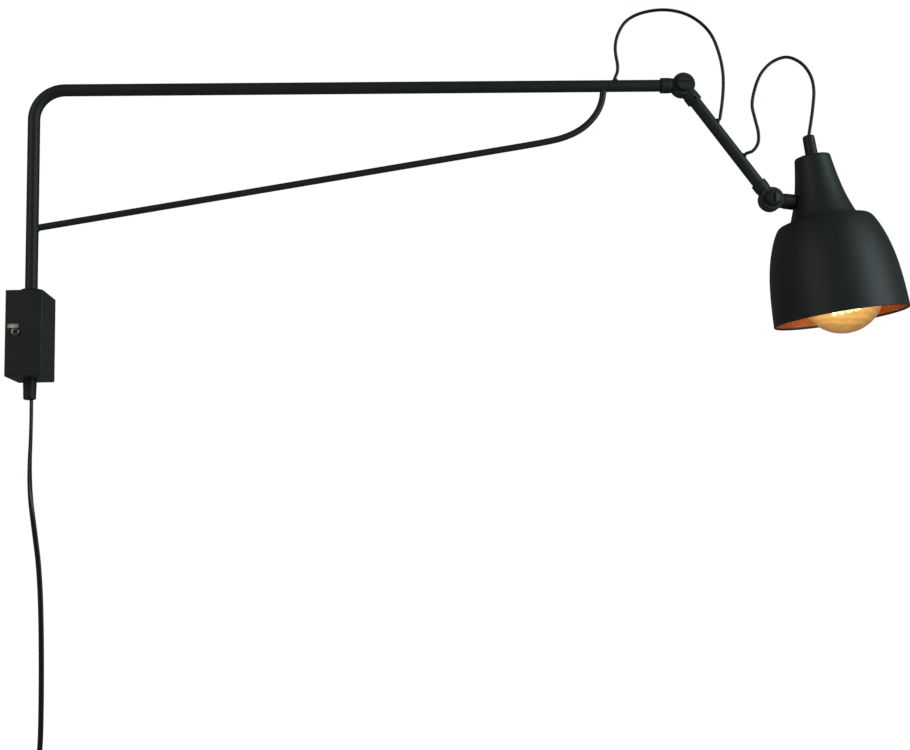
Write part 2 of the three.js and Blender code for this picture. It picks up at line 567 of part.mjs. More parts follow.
function mainsCord() {
  const onRoute = (route) => route.map((p) => new THREE.Vector3(...p));
  add("mains_cord", cable(onRoute(CORD_ROUTE), CORD_R, 36, 8), COLOR.rubber, 0.5, 0);

  const { x, z, midR, half, inner, outer } = COIL;
  const wound = ring(inner, outer, -half, half, { at: [x, -midR, z], axis: [1, 0, 0], sides: 24 });
  add("mains_coil", wound, COLOR.rubber, 0.5, 0);
  const tieBand = (grow) => {
    const low = [x - half - grow, -midR - 6, z + inner - 1 - grow];
    return [low, [x + half + grow, -midR + 6, z + outer + grow]];
  };
  const hole = tieBand(GAP).map((corner, i) => corner.map((v, axis) => (axis === 1 ? v + (i ? 1 : -1) : v)));
  add("coil_tie", cut(block(...tieBand(GAP + 1.4)), block(...hole)), COLOR.rubber, 0.8, 0);
  add("cord_tail", cable(onRoute(CORD_TAIL), CORD_R, 4, 8), COLOR.rubber, 0.5, 0);
}

// A flat two-pin plug hanging from the cord: a narrow neck, sloping shoulders and a plain pin face.
function mainsPlug() {
  const { top, shoulder, foot, half, thick } = PLUG;
  const outline = new THREE.Shape([
    [-4.4, top], [-5.2, top - 11], [-half, shoulder], [-half, foot + 4], [-half + 4.6, foot],
    [half - 4.6, foot], [half, foot + 4], [half, shoulder], [5.2, top - 11], [4.4, top],
  ].map(([y, z]) => new THREE.Vector2(y, z)));
  const slab = new THREE.ExtrudeGeometry(outline, { depth: thick, bevelEnabled: false });
  const upright = new THREE.Matrix4().makeBasis(
    new THREE.Vector3(0, 1, 0), new THREE.Vector3(0, 0, 1), new THREE.Vector3(1, 0, 0));
  slab.applyMatrix4(upright).translate(COIL.x - thick / 2, 0, 0);
  add("plug_body", solid(slab), COLOR.rubber, 0.5, 0);
  for (const [side, name] of [[-1, "plug_pin_front"], [1, "plug_pin_back"]]) {
    const place = { at: [COIL.x, side * PIN.spread, foot - GAP - PIN.length], sides: 12 };
    const pin = turned([[0, 0], [PIN.r - 0.6, 0], [PIN.r, 0.9], [PIN.r, PIN.length], [0, PIN.length]], place);
    add(name, pin, COLOR.brass, 0.3, 0.95);
  }
}

// ---- Assembly ----------------------------------------------------------------------------------

wallBox();
postBearings();
boxWiring();
mainArm();
elbowAndSecondArm();
shadeKnuckle();
shade();
bulb();
lampCables();
mainsCord();
mainsPlug();

export default lamp;
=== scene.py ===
import json
import math

import bmesh
import bpy
from mathutils import Matrix, Vector

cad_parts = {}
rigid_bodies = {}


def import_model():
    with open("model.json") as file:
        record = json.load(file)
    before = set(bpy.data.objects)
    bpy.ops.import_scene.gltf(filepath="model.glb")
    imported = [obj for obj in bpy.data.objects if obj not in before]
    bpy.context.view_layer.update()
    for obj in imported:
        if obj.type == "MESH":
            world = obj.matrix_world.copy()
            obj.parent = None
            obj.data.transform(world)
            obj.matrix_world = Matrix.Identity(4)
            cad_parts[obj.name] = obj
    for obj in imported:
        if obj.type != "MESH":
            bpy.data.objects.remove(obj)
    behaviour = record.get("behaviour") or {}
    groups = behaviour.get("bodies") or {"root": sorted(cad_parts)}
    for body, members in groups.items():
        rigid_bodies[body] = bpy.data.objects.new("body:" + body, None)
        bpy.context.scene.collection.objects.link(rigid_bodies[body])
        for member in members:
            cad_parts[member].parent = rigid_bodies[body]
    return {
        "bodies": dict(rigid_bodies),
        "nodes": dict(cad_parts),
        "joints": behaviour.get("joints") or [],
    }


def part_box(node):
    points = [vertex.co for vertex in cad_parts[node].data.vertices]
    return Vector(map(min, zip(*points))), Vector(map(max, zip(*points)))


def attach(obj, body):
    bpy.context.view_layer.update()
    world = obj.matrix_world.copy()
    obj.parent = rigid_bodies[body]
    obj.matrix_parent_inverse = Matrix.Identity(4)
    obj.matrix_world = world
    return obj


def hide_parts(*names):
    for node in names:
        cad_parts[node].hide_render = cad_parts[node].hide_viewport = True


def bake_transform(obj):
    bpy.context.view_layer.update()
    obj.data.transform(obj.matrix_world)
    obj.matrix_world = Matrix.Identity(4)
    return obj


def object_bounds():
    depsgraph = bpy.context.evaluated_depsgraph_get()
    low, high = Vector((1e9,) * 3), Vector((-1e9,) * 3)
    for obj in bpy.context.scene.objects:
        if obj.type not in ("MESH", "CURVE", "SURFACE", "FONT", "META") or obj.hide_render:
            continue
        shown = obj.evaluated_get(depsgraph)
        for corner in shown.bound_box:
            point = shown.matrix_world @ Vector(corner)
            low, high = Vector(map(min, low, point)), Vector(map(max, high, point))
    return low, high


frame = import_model()
cad_low, cad_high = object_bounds()

# ---- Camera, studio light and floor ----
# The camera stands in front of the arm, below its level, and looks slightly up and along the wall.
# A cool soft box on the right and a nearly neutral one on the left both stand well out from the wall,
# with a faint one underneath, in a dim grey studio over a plain pale floor.
CAMERA_PLACE = Vector((0.3158, -1.3415, -0.1925))
CAMERA_YAW, CAMERA_PITCH, CAMERA_ROLL = (math.radians(a) for a in (3.051, 8.377, -1.407))
LENS = {"lens": 55.105, "sensor_width": 36, "shift_x": 0.0440, "shift_y": -0.0549}


def in_scene(name, data):
    """A new object in the scene, made of its data."""
    made = bpy.data.objects.new(name, data)
    bpy.context.scene.collection.objects.link(made)
    return made


def middle_of(node):
    """The middle of a frame node's box."""
    low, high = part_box(node)
    return (low + high) / 2


def camera_turn(yaw, pitch, roll):
    """The camera's rotation, with its own +X to the right, +Y up and -Z forward."""
    forward = Vector((math.sin(yaw) * math.cos(pitch), math.cos(yaw) * math.cos(pitch), math.sin(pitch)))
    level = Vector((math.cos(yaw), -math.sin(yaw), 0))
    upright = level.cross(forward)
    right = level * math.cos(roll) + upright * math.sin(roll)
    up = upright * math.cos(roll) - level * math.sin(roll)
    return Matrix((right, up, -forward)).transposed().to_4x4()


lens = bpy.data.cameras.new("camera")
for setting, amount in LENS.items():
    setattr(lens, setting, amount)
camera = in_scene("camera", lens)
camera.matrix_world = Matrix.Translation(CAMERA_PLACE) @ camera_turn(CAMERA_YAW, CAMERA_PITCH, CAMERA_ROLL)
bpy.context.scene.camera = camera
bpy.context.scene.view_settings.view_transform = "Standard"


def soft_box(name, place, width, height, watts, colour):
    """A rectangular soft light that faces the shade."""
    light = bpy.data.lights.new(name, "AREA")
    light.shape = "RECTANGLE"
    light.size, light.size_y = width, height
    light.energy, light.color = watts, colour
    box = in_scene(name, light)
    box.location = place
    box.rotation_mode = "QUATERNION"
    box.rotation_quaternion = (middle_of("shade_bell") - Vector(place)).to_track_quat("-Z", "Y")


soft_box("right_soft_box", (2.05, -0.98, 0.40), 0.8, 1.6, 17, (0.80, 0.97, 1.0))
soft_box("left_soft_box", (-1.80, -1.86, 0.87), 1.3, 2.4, 16, (1.0, 0.97, 0.92))
soft_box("low_soft_box", (0.35, -0.45, -0.95), 1.6, 0.9, 0.8, (0.96, 1.0, 0.95))

STUDIO_GREY = (0.115, 0.13, 0.125, 1)
BACKDROP_WHITE = (1.0, 1.0, 1.0, 1)
studio = bpy.data.worlds.new("studio")
bpy.context.scene.world = studio
studio.use_nodes = True
studio_nodes, studio_links = studio.node_tree.nodes, studio.node_tree.links
seen = studio_nodes.new("ShaderNodeLightPath")
chosen = studio_nodes.new("ShaderNodeMix")
chosen.data_type = "RGBA"
by_ray, unseen_colour, seen_colour = (s for s in chosen.inputs if s.enabled)
unseen_colour.default_value = STUDIO_GREY
seen_colour.default_value = BACKDROP_WHITE
studio_links.new(seen.outputs["Is Camera Ray"], by_ray)
studio_links.new(next(s for s in chosen.outputs if s.enabled), studio_nodes["Background"].inputs["Color"])
FLOOR_Z = cad_low.z - 0.22
FLOOR_HALF = 9.0


class Flow:
    """A value, colour or vector on its way through a finish. Arithmetic on it adds Math nodes."""

    def __init__(self, finish, socket):
        self.finish = finish
        self.socket = socket

    def worked(self, operation, first, second):
        return self.finish.node("ShaderNodeMath", {"operation": operation}, {0: first, 1: second})

    def __add__(self, other):
        return self.worked("ADD", self, other)

    def __sub__(self, other):
        return self.worked("SUBTRACT", self, other)

    def __rsub__(self, other):
        return self.worked("SUBTRACT", other, self)

    def __mul__(self, other):
        return self.worked("MULTIPLY", self, other)

    def __pow__(self, other):
        return self.worked("POWER", self, other)

    def __gt__(self, other):
        return self.worked("GREATER_THAN", self, other)

    __radd__ = __add__
    __rmul__ = __mul__


class Finish:
    """One material: a Principled shader, the nodes that feed it, and the slot of the part it fills."""

    def __init__(self, name, slot=None, **fixed):
        self.slot = slot
        self.material = bpy.data.materials.new(name)
        self.material.use_nodes = True
        self.tree = self.material.node_tree
        self.shader = self.tree.nodes["Principled BSDF"]
        for key, value in fixed.items():
            self.feed(self.shader, key.replace("_", " ").title().replace("Ior", "IOR"), value)

    def socket(self, sockets, key):
        if isinstance(key, int):
            return sockets[key]
        usable = [s for s in sockets if s.enabled]
        return usable[0] if key is None else next(s for s in usable if s.name == key)

    def feed(self, node, key, value):
        target = self.socket(node.inputs, key)
        if isinstance(value, Flow):
            self.tree.links.new(value.socket, target)
        elif target.type == "RGBA" and len(value) == 3:
            target.default_value = (*value, 1)
        else:
            target.default_value = value

    def node(self, kind, settings=None, inputs=None, output=None):
        """Any node: its settings first, then the values or links of its sockets."""
        made = self.tree.nodes.new(kind)
        for key, value in (settings or {}).items():
            if key == "stops":
                ramp = made.color_ramp
                while len(ramp.elements) < len(value):
                    ramp.elements.new(1)
                for element, (position, colour) in zip(ramp.elements, value):
                    element.position = position
                    element.color = (*colour, 1)
            else:
                setattr(made, key, value)
        for key, value in (inputs or {}).items():
            self.feed(made, key, value)
        return Flow(self, self.socket(made.outputs, output))

    def place(self):
        return self.node("ShaderNodeTexCoord", output="Object")

    def noise(self, scale, detail=2, roughness=0.5):
        sizes = {"Scale": scale, "Detail": detail, "Roughness": roughness}
        return self.node("ShaderNodeTexNoise", None, {"Vector": self.place(), **sizes}, "Fac")

    def ramp(self, value, *stops):
        return self.node("ShaderNodeValToRGB", {"stops": stops}, {"Fac": value}, "Color")

    def mixed(self, factor, first, second):
        return self.node("ShaderNodeMix", {"data_type": "RGBA"}, {"Factor": factor, "A": first, "B": second})

    def eased(self, value, low, high, start=0.0, end=1.0):
        return self.node("ShaderNodeMapRange", {"interpolation_type": "SMOOTHSTEP"},
                         {"Value": value, "From Min": low, "From Max": high, "To Min": start, "To Max": end})

    def colour(self, value):
        self.feed(self.shader, "Base Color", value)

    def roughness(self, value):
        self.feed(self.shader, "Roughness", value)

    def bump(self, height, depth, strength):
        made = self.node("ShaderNodeBump", None, {"Height": height, "Distance": depth, "Strength": strength})
        self.feed(self.shader, "Normal", made)


def pale_floor():
    """Matt white floor paint, lit evenly enough to read as white."""
    paint = Finish("pale_floor", emission_strength=0.9, emission_color=(1.0, 1.0, 1.0), roughness=0.9)
    cloud = paint.noise(3, 3)
    paint.colour(paint.mixed(cloud, (0.86, 0.86, 0.86), (0.93, 0.93, 0.93)))
    return paint


floor_mesh = bpy.data.meshes.new("floor")
corners = [(x * FLOOR_HALF, y * FLOOR_HALF, FLOOR_Z) for x, y in ((-1, -1), (1, -1), (1, 1), (-1, 1))]
floor_mesh.from_pydata(corners, [], [(0, 1, 2, 3)])
floor_mesh.materials.append(pale_floor().material)
floor = in_scene("floor", floor_mesh)
floor.visible_glossy = False
floor.visible_diffuse = False

# ---- Mains cord ----
# A flat two-core cord in a black PVC sheath, 5 mm wide and 3 mm thick. It hangs from the box edge
# on, twists by a quarter turn as it falls, and its spare length is wound in a tied coil.


def in_plane(*pairs):
    """Points in the upright plane of the arm, from their (x, z)."""
    return [(x, 0, z) for x, z in pairs]


CORD = {"width": 0.005, "thick": 0.0030, "length": 1.8}
GLAND_FOOT = Vector((middle_of("mains_gland").x, 0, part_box("mains_gland")[0].z))
CORD_ROUTE = [Vector(p) for p in in_plane(
    (0.0192, -0.0609), (0.0193, -0.080), (0.0191, -0.099), (0.0186, -0.118), (0.0188, -0.137),
    (0.0201, -0.156), (0.0226, -0.175), (0.0253, -0.194), (0.0279, -0.214), (0.0300, -0.240),
    (0.0313, -0.270), (0.0321, -0.304), (0.0325, -0.345), (0.0322, -0.376),
) + [(0.0308, 0.0005, -0.397), (0.0294, 0.0016, -0.411), (0.0291, 0.0022, -0.4215)]]
RISES_IN_GLAND = (0.0123, 0.0053)
CORD_IN_GLAND = [Vector((CORD_ROUTE[0].x, 0, CORD_ROUTE[0].z + rise)) for rise in RISES_IN_GLAND]
COIL_MIDDLE = middle_of("mains_coil")
COIL_LAYERS = (0.024, 0.028, 0.032)
COIL_ROWS = (-0.005, 0.0, 0.005)
# Where each turn lies in the bundle, as (row, layer): it winds in from the outside and out again.
COIL_SLOTS = ((0, 2), (1, 2), (1, 1), (0, 1), (0, 0), (1, 0), (2, 0), (2, 1), (2, 2))
COIL_TURNS = len(COIL_SLOTS) - 1
STEPS_PER_TURN = 24
# Where in the first turn the cord changes slot, how much sooner in each later one, and over how much.
CHANGE_AT, CHANGE_SOONER, CHANGE_OVER = 0.86, 0.105, 0.24


def smooth(share):
    """0 to 1, easing in and out."""
    share = min(max(share, 0.0), 1.0)
    return share * share * (3 - 2 * share)


def coil_point(turned):
    """A point on the wound cord after that many turns."""
    turn = min(int(turned), COIL_TURNS - 1)
    change = CHANGE_AT - CHANGE_SOONER * turn
    share = smooth((turned - turn - change) / CHANGE_OVER + 0.5)
    (row_a, layer_a), (row_b, layer_b) = COIL_SLOTS[turn], COIL_SLOTS[turn + 1]
    across = COIL_ROWS[row_a] + (COIL_ROWS[row_b] - COIL_ROWS[row_a]) * share
    radius = COIL_LAYERS[layer_a] + (COIL_LAYERS[layer_b] - COIL_LAYERS[layer_a]) * share
    angle = -2 * math.pi * turned
    return COIL_MIDDLE + Vector((across, radius * math.cos(angle), radius * math.sin(angle)))


def evenly(points, spacing):
    """Points at an even spacing along a polyline, its two ends included."""
    reach = [0.0]
    for a, b in zip(points, points[1:]):
        reach.append(reach[-1] + (b - a).length)
    count = max(2, round(reach[-1] / spacing))
    placed, at = [], 0
    for i in range(count + 1):
        want = reach[-1] * i / count
        while at < len(points) - 2 and reach[at + 1] < want:
            at += 1
        run = reach[at + 1] - reach[at]
        placed.append(points[at].lerp(points[at + 1], (want - reach[at]) / run if run else 0))
    return placed


def flowing(points, spacing):
    """Even points on one smooth curve through all the given ones."""
    reached = [2 * points[0] - points[1], *points, 2 * points[-1] - points[-2]]
    fine = []
    for a, b, c, d in zip(reached, reached[1:], reached[2:], reached[3:]):
        t1 = (b - a).length ** 0.5
        t2 = t1 + (c - b).length ** 0.5
        t3 = t2 + (d - c).length ** 0.5
        steps = max(3, math.ceil((c - b).length / spacing * 2))
        for i in range(steps):
            t = t1 + (t2 - t1) * i / steps
            first, second = a.lerp(b, t / t1), b.lerp(c, (t - t1) / (t2 - t1))
            third = c.lerp(d, (t - t2) / (t3 - t2))
            near, far = first.lerp(second, t / t2), second.lerp(third, (t - t1) / (t3 - t1))
            fine.append(near.lerp(far, (t - t1) / (t2 - t1)))
    return evenly([*fine, points[-1]], spacing)


def length_of(points):
    return sum((b - a).length for a, b in zip(points, points[1:]))


def outline(width, thick, count=20):
    """A flat section with round edges, or a circle where the two sizes are equal."""
    pairs = []
    for i in range(count):
        a = 2 * math.pi * (i + 0.5) / count
        pairs.append((math.copysign((width - thick) / 2, math.cos(a)) + thick / 2 * math.cos(a),
                      thick / 2 * math.sin(a)))
    return pairs


def skinned(bm, rings, closed=False):
    """Faces from each ring of points to the next. A ring of one point is a tip."""
    count = max(len(ring) for ring in rings)
    for low, high in zip(rings, rings[1:] + (rings[:1] if closed else [])):
        for k in range(count):
            n = (k + 1) % count
            corners = [low[k % len(low)], low[n % len(low)], high[n % len(high)], high[k % len(high)]]
            corners = list(dict.fromkeys(corners))
            if len(corners) > 2:
                bm.faces.new(corners)


def swept(stations, section, sideways=None):
    """A bar along the stations. sideways gives, at each one, where the section's width points."""
    bm = bmesh.new()
    rings = []
    last = len(stations) - 1
    for i, here in enumerate(stations):
        along = (stations[min(i + 1, last)] - stations[max(i - 1, 0)]).normalized()
        side = sideways[i] if sideways else Vector((0, 1, 0))
        side = (side - along * side.dot(along)).normalized()
        up = along.cross(side)
        pairs = section(i / last) if callable(section) else section
        rings.append([bm.verts.new(here + side * a + up * b) for a, b in pairs])
    skinned(bm, rings)
    bm.faces.new(rings[0])
    bm.faces.new(rings[-1][::-1])
    return bm


def shown(name, bm, finish, body, *stands_for, sharp=35, weighted=False):
    """Makes a mesh the named piece: smooth but for its sharp edges, riding on its body."""
    bmesh.ops.remove_doubles(bm, verts=bm.verts, dist=1e-7)
    bmesh.ops.recalc_face_normals(bm, faces=bm.faces)
    for face in bm.faces:
        face.smooth = True
    for edge in bm.edges:
        edge.smooth = len(edge.link_faces) == 2 and edge.calc_face_angle(0) < math.radians(sharp)
    mesh = bpy.data.meshes.new(name)
    bm.to_mesh(mesh)
    bm.free()
    mesh.materials.append(finish.material)
    piece = in_scene(name, mesh)
    if weighted:
        piece.modifiers.new("even_shading", "WEIGHTED_NORMAL").keep_sharp = True
    if body:
        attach(piece, body)
    if stands_for:
        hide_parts(*stands_for)
    return piece


def cable_sheath():
    """Black PVC, drawn smooth, with faint streaks and dust and a soft shine."""
    pvc = Finish("black_pvc_sheath", "cable_sheath", specular_ior_level=0.5)
    fine = pvc.noise(2600, 3)
    dust = pvc.noise(60, 4, 0.6)
    pvc.colour(pvc.mixed(dust, (0.0045, 0.0052, 0.0050), (0.0085, 0.0098, 0.0094)))
    pvc.roughness(0.24 + dust * 0.12 + fine * 0.05)
    pvc.bump(fine, 0.00003, 0.5)
    return pvc


sheath = cable_sheath()
INTO_COIL = COIL_MIDDLE + Vector((COIL_ROWS[0], COIL_LAYERS[2] - 0.0003, 0.011))
CORD_TAIL = [Vector(p) for p in (
    (0.0386, 0.0046, -0.4570), (0.0366, 0.0022, -0.4686), (0.0351, 0.0008, -0.4760),
    (0.0341, 0.0001, -0.4833), (0.034, 0, -0.492))]
CORD_STEP = 0.0035
wound = [coil_point(i / STEPS_PER_TURN) for i in range(COIL_TURNS * STEPS_PER_TURN + 1)]
cord_line = flowing([*CORD_IN_GLAND, *CORD_ROUTE, INTO_COIL, *wound, *CORD_TAIL], CORD_STEP)
TWIST_FROM, TWIST_TO = -0.080, -0.215
TAIL_SHARE, TAIL_FROM, TAIL_OUT_Y = 0.9, -0.448, -0.002
TAIL_TWIST_FROM, TAIL_TWIST_OVER = -0.452, 0.030


def cord_side(point, i):
    """Where the flat cord's width points: along the wall at the box, out of it further down."""
    fallen = smooth((TWIST_FROM - point.z) / (TWIST_FROM - TWIST_TO))
    if i > TAIL_SHARE * len(cord_line) and point.z < TAIL_FROM and point.y > TAIL_OUT_Y:
        fallen = 1 - smooth((TAIL_TWIST_FROM - point.z) / TAIL_TWIST_OVER)
    angle = fallen * math.pi / 2
    return Vector((math.sin(angle), math.cos(angle), 0))


cord_sides = [cord_side(p, i) for i, p in enumerate(cord_line)]
cord = shown("flat_mains_cord", swept(cord_line, outline(CORD["width"], CORD["thick"]), cord_sides), sheath,
             "wall_unit", "mains_cord", "mains_coil", "cord_tail", sharp=60)


# Strap round the coil: 12 mm black hook-and-loop tape, wrapped once and lapped over itself.
def strap_tape():
    """Woven nylon tape with a short pile."""
    tape = Finish("strap_tape", "black_moulding", specular_ior_level=0.2, sheen_weight=0.15)
    pile = tape.noise(1800, 5, 0.7)
    weave = tape.node("ShaderNodeTexWave", {"wave_type": "BANDS", "bands_direction": "Y"},
                      {"Vector": tape.place(), "Scale": 260.0, "Distortion": 1.5, "Detail": 2.0}, "Fac")
    tape.colour(tape.mixed(pile, (0.008, 0.008, 0.008), (0.026, 0.027, 0.027)))
    tape.roughness(0.8 + pile * 0.15)
    tape.bump(pile + weave * 0.4, 0.0002, 0.7)
    return tape


STRAP = {"width": 0.012, "thick": 0.0011, "half_x": 0.0086, "low": 0.0217, "high": 0.0346}
STRAP_STEPS, STEPS_PER_LAP = 58, 48
STRAP_START = 0.35
STRAP_SQUARENESS = 3.2
LAP_GROWTH, GROWS_FROM, GROWS_OVER = 0.0012, 0.88, 0.1


def strap_line():
    """Once and a bit round the bundle at the coil's top, the second lap lying on the first."""
    middle = COIL_MIDDLE + Vector((0, 0, (STRAP["low"] + STRAP["high"]) / 2))
    half_z = (STRAP["high"] - STRAP["low"]) / 2
    power = STRAP_SQUARENESS
    line = []
    for i in range(STRAP_STEPS):
        lap = i / STEPS_PER_LAP
        a = math.pi * (STRAP_START + 2 * lap)
        grow = LAP_GROWTH * max(0.0, min(1.0, (lap - GROWS_FROM) / GROWS_OVER))
        square = (abs(math.cos(a)) ** power + abs(math.sin(a)) ** power) ** (-1 / power)
        line.append(middle + Vector(((STRAP["half_x"] + grow) * square * math.cos(a), 0,
                                     (half_z + grow) * square * math.sin(a))))
    return line


strap = shown("coil_strap", swept(strap_line(), outline(STRAP["width"], STRAP["thick"], 12)), strap_tape(),
              "wall_unit", "coil_tie", sharp=60)


# Plug: a flat two-pin plug moulded onto the cord in black PVC, with a ribbed neck that tapers to
# the cord, and half-sleeved pins.
def moulding():
    """Black moulded plastic or rubber with a fine spark-eroded grain."""
    plastic = Finish("black_moulding", "black_moulding", specular_ior_level=0.4)
    grains = plastic.noise(1500, 3, 0.6)
    patch = plastic.noise(90, 3)
    plastic.colour(plastic.mixed(patch, (0.0085, 0.0095, 0.009), (0.014, 0.016, 0.015)))
    plastic.roughness(0.42 + grains * 0.16)
    plastic.bump(grains, 0.00006, 0.6)
    return plastic


moulded = moulding()


def mm(*rows):
    """Rows of sizes in millimetres, as tuples in metres."""
    return [tuple(value / 1000 for value in row) for row in rows]


PLUG_FACE = Vector((middle_of("plug_body").x, 0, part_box("plug_body")[0].z))
# Height above the pin face, half the width across the pins, half the thickness, and corner radius.
PLUG_STATIONS = mm(
    (0.0, 12.6, 5.2, 2.0), (0.5, 13.3, 6.1, 2.6), (4.2, 17.2, 6.7, 3.2), (5.4, 17.5, 6.75, 3.3),
    (8.4, 17.55, 6.75, 3.3), (9.0, 17.3, 6.35, 3.2), (10.0, 17.3, 6.35, 3.2), (10.6, 17.5, 6.7, 3.3),
    (12.0, 17.3, 6.65, 3.3), (14.0, 15.6, 6.5, 3.4), (17.0, 12.6, 6.3, 3.6), (20.0, 9.4, 6.0, 3.8),
    (23.0, 6.8, 5.4, 3.8), (25.0, 5.5, 4.8, 3.6), (25.8, 5.0, 4.3, 3.4), (26.8, 5.0, 4.3, 3.4),
    (27.3, 5.2, 4.6, 3.5), (28.4, 5.1, 4.5, 3.4), (28.9, 4.7, 4.0, 3.2), (29.9, 4.7, 4.0, 3.2),
    (30.4, 4.9, 4.3, 3.3), (31.5, 4.8, 4.2, 3.2), (32.0, 4.4, 3.7, 3.0), (33.0, 4.4, 3.7, 3.0),
    (33.5, 4.5, 3.9, 3.1), (35.4, 4.3, 3.7, 3.0), (36.0, 3.7, 3.1, 2.6),
)
CORNER_STEPS = 5


def round_corners(half_y, half_x, radius):
    """A rectangle with round corners, as (along Y, along X) pairs."""
    pairs = []
    for quarter, (sy, sx) in enumerate(((1, 1), (-1, 1), (-1, -1), (1, -1))):
        for i in range(CORNER_STEPS + 1):
            a = math.pi / 2 * (quarter + i / CORNER_STEPS)
            pairs.append((sy * (half_y - radius) + radius * math.cos(a),
                          sx * (half_x - radius) + radius * math.sin(a)))
    return pairs


def lofted(stations):
    """A body through level sections: each station is a height and the section's (y, x) pairs."""
    bm = bmesh.new()
    rings = [[bm.verts.new((x, y, z)) for y, x in pairs] for z, pairs in stations]
    skinned(bm, rings)
    bm.faces.new(rings[0])
    bm.faces.new(rings[-1])
    return bm


plug_bm = lofted([(height, round_corners(*sizes)) for height, *sizes in PLUG_STATIONS])
plug_bm.transform(Matrix.Translation(PLUG_FACE))
plug = shown("two_pin_plug", plug_bm, moulded, "wall_unit", "plug_body", sharp=50)


NEARLY_STRAIGHT = -0.94


def eased(profile, radius, steps=3):
    """A profile with its corners rounded, as far as its short sides allow."""
    closed = profile[0] == profile[-1]
    points = [Vector(p) for p in (profile[:-1] if closed else profile)]
    made = []
    for i, corner in enumerate(points):
        before, after = points[i - 1], points[(i + 1) % len(points)]
        if not closed and i in (0, len(points) - 1):
            made.append(tuple(corner))
            continue
        back, on = before - corner, after - corner
        if back.normalized().dot(on.normalized()) < NEARLY_STRAIGHT:
            made.append(tuple(corner))
            continue
        reach = min(radius, 0.45 * back.length, 0.45 * on.length)
        start, end = corner + back.normalized() * reach, corner + on.normalized() * reach
        for k in range(steps + 1):
            t = k / steps
            made.append(tuple(start.lerp(corner, t).lerp(corner.lerp(end, t), t)))
    return [*made, made[0]] if closed else made


def on_axis(origin, direction=(0, 0, 1)):
    """The place of a turned piece: its origin, and where its own +Z points."""
    turn = Vector((0, 0, 1)).rotation_difference(Vector(direction))
    return Matrix.Translation(origin) @ turn.to_matrix().to_4x4()


def turned(profile, place=None, segments=64, wave=None):
    """A turned piece: (radius, height) pairs spun about its own Z. wave(angle, height) adds to radii."""
    bm = bmesh.new()
    closed = profile[0] == profile[-1]
    rings = []
    for radius, height in profile[:-1] if closed else profile:
        if radius < 1e-7:
            rings.append([bm.verts.new((0, 0, height))])
            continue
        ring = []
        for k in range(segments):
            a = 2 * math.pi * k / segments
            r = radius + (wave(a, height) if wave else 0)
            ring.append(bm.verts.new((r * math.cos(a), r * math.sin(a), height)))
        rings.append(ring)
    skinned(bm, rings, closed)
    bm.transform(place or Matrix())
    return bm


def rod(place, radius, low, high, segments):
    """A plain round bar along a place's own Z, from low to high."""
    return turned([(0, low), (radius, low), (radius, high), (0, high)], place, segments)


def pin_metal(sleeve_top):
    """Nickel-plated brass pins, with a black sleeve moulded on the half next to the plug."""
    pin = Finish("plug_pin", "brass")
    height = pin.node("ShaderNodeSeparateXYZ", None, {0: pin.place()}, "Z")
    sleeve = height > sleeve_top
    scuff = pin.noise(900, 4)
    pin.colour(pin.mixed(sleeve, (0.62, 0.60, 0.56), (0.012, 0.012, 0.012)))
    pin.feed(pin.shader, "Metallic", 1 - sleeve)
    pin.roughness(0.22 + scuff * 0.14 + sleeve * 0.2)
    return pin


PIN_SLEEVE = 0.010
pin_finish = pin_metal(PLUG_FACE.z - PIN_SLEEVE)
pin_line = eased(mm((0, 0), (2.0, 0), (2.0, 9), (1.85, 9.2), (1.85, 19.6), (0, 19.6)), 0.0009, 5)
for node, name in (("plug_pin_front", "plug_pin_near"), ("plug_pin_back", "plug_pin_far")):
    foot = middle_of(node)
    foot.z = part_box(node)[0].z
    shown(name, turned(pin_line, on_axis(foot), 40), pin_finish, "wall_unit", node, sharp=40)

# ---- Cable loops ----
# Round two-core cable, 3.3 mm thick, that leaves one tube through a grommet and goes into the next
# piece past the knuckle, with enough slack for the knuckle's whole swing.
CABLE = 0.0033
CABLE_STEP = 0.0028
JOINTS = {joint["name"]: Vector(joint["pos_m"]) for joint in frame["joints"]}
UPPER_LOOP = in_plane(
    (0.5949, 0.2478), (0.5950, 0.2506), (0.5953, 0.2539), (0.5978, 0.2590), (0.5987, 0.2665),
    (0.5973, 0.2779), (0.5972, 0.2874), (0.6006, 0.3000), (0.6090, 0.3130), (0.6235, 0.3214),
    (0.6490, 0.3254), (0.6704, 0.3211), (0.6860, 0.3112), (0.6963, 0.2984), (0.7031, 0.2786),
    (0.7059, 0.2592), (0.7055, 0.2434), (0.7032, 0.2260), (0.7011, 0.2154), (0.6995, 0.2090),
    (0.6977, 0.2081), (0.6961, 0.2069))
LOWER_LOOP = in_plane(
    (0.7208, 0.1707), (0.7227, 0.1720), (0.7249, 0.1740), (0.7315, 0.1763), (0.7374, 0.1841),
    (0.7386, 0.1951), (0.7360, 0.2100), (0.7339, 0.2238), (0.7377, 0.2411), (0.7455, 0.2579),
    (0.7582, 0.2699), (0.7734, 0.2744), (0.7880, 0.2672), (0.7963, 0.2540), (0.7984, 0.2400),
    (0.7966, 0.2240), (0.7936, 0.2080), (0.7903, 0.1930), (0.7893, 0.1880), (0.7898, 0.1835))
for name, node, route, bodies in (
    ("upper_loop_cable", "upper_cable_loop", UPPER_LOOP, ("arm", "forearm")),
    ("lower_loop_cable", "lower_cable_loop", LOWER_LOOP, ("forearm", "shade_head")),
):
    line = flowing([Vector(p) for p in route], CABLE_STEP)
    loop = shown(name, swept(line, outline(CABLE, CABLE, 16)), sheath, None, node, sharp=60)
    tuple(route[2])
    length_of(line)
    tuple(route[2])
    tuple(route[-3])
    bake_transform(loop)

# ---- Wall box ----
# Folded sheet steel, 1.5 mm, powder coated black, with soft bends and a sight slot in each side wall.
# It drops over the tabs of the zinc plate and a lock screw on each side, below the slot, holds it.


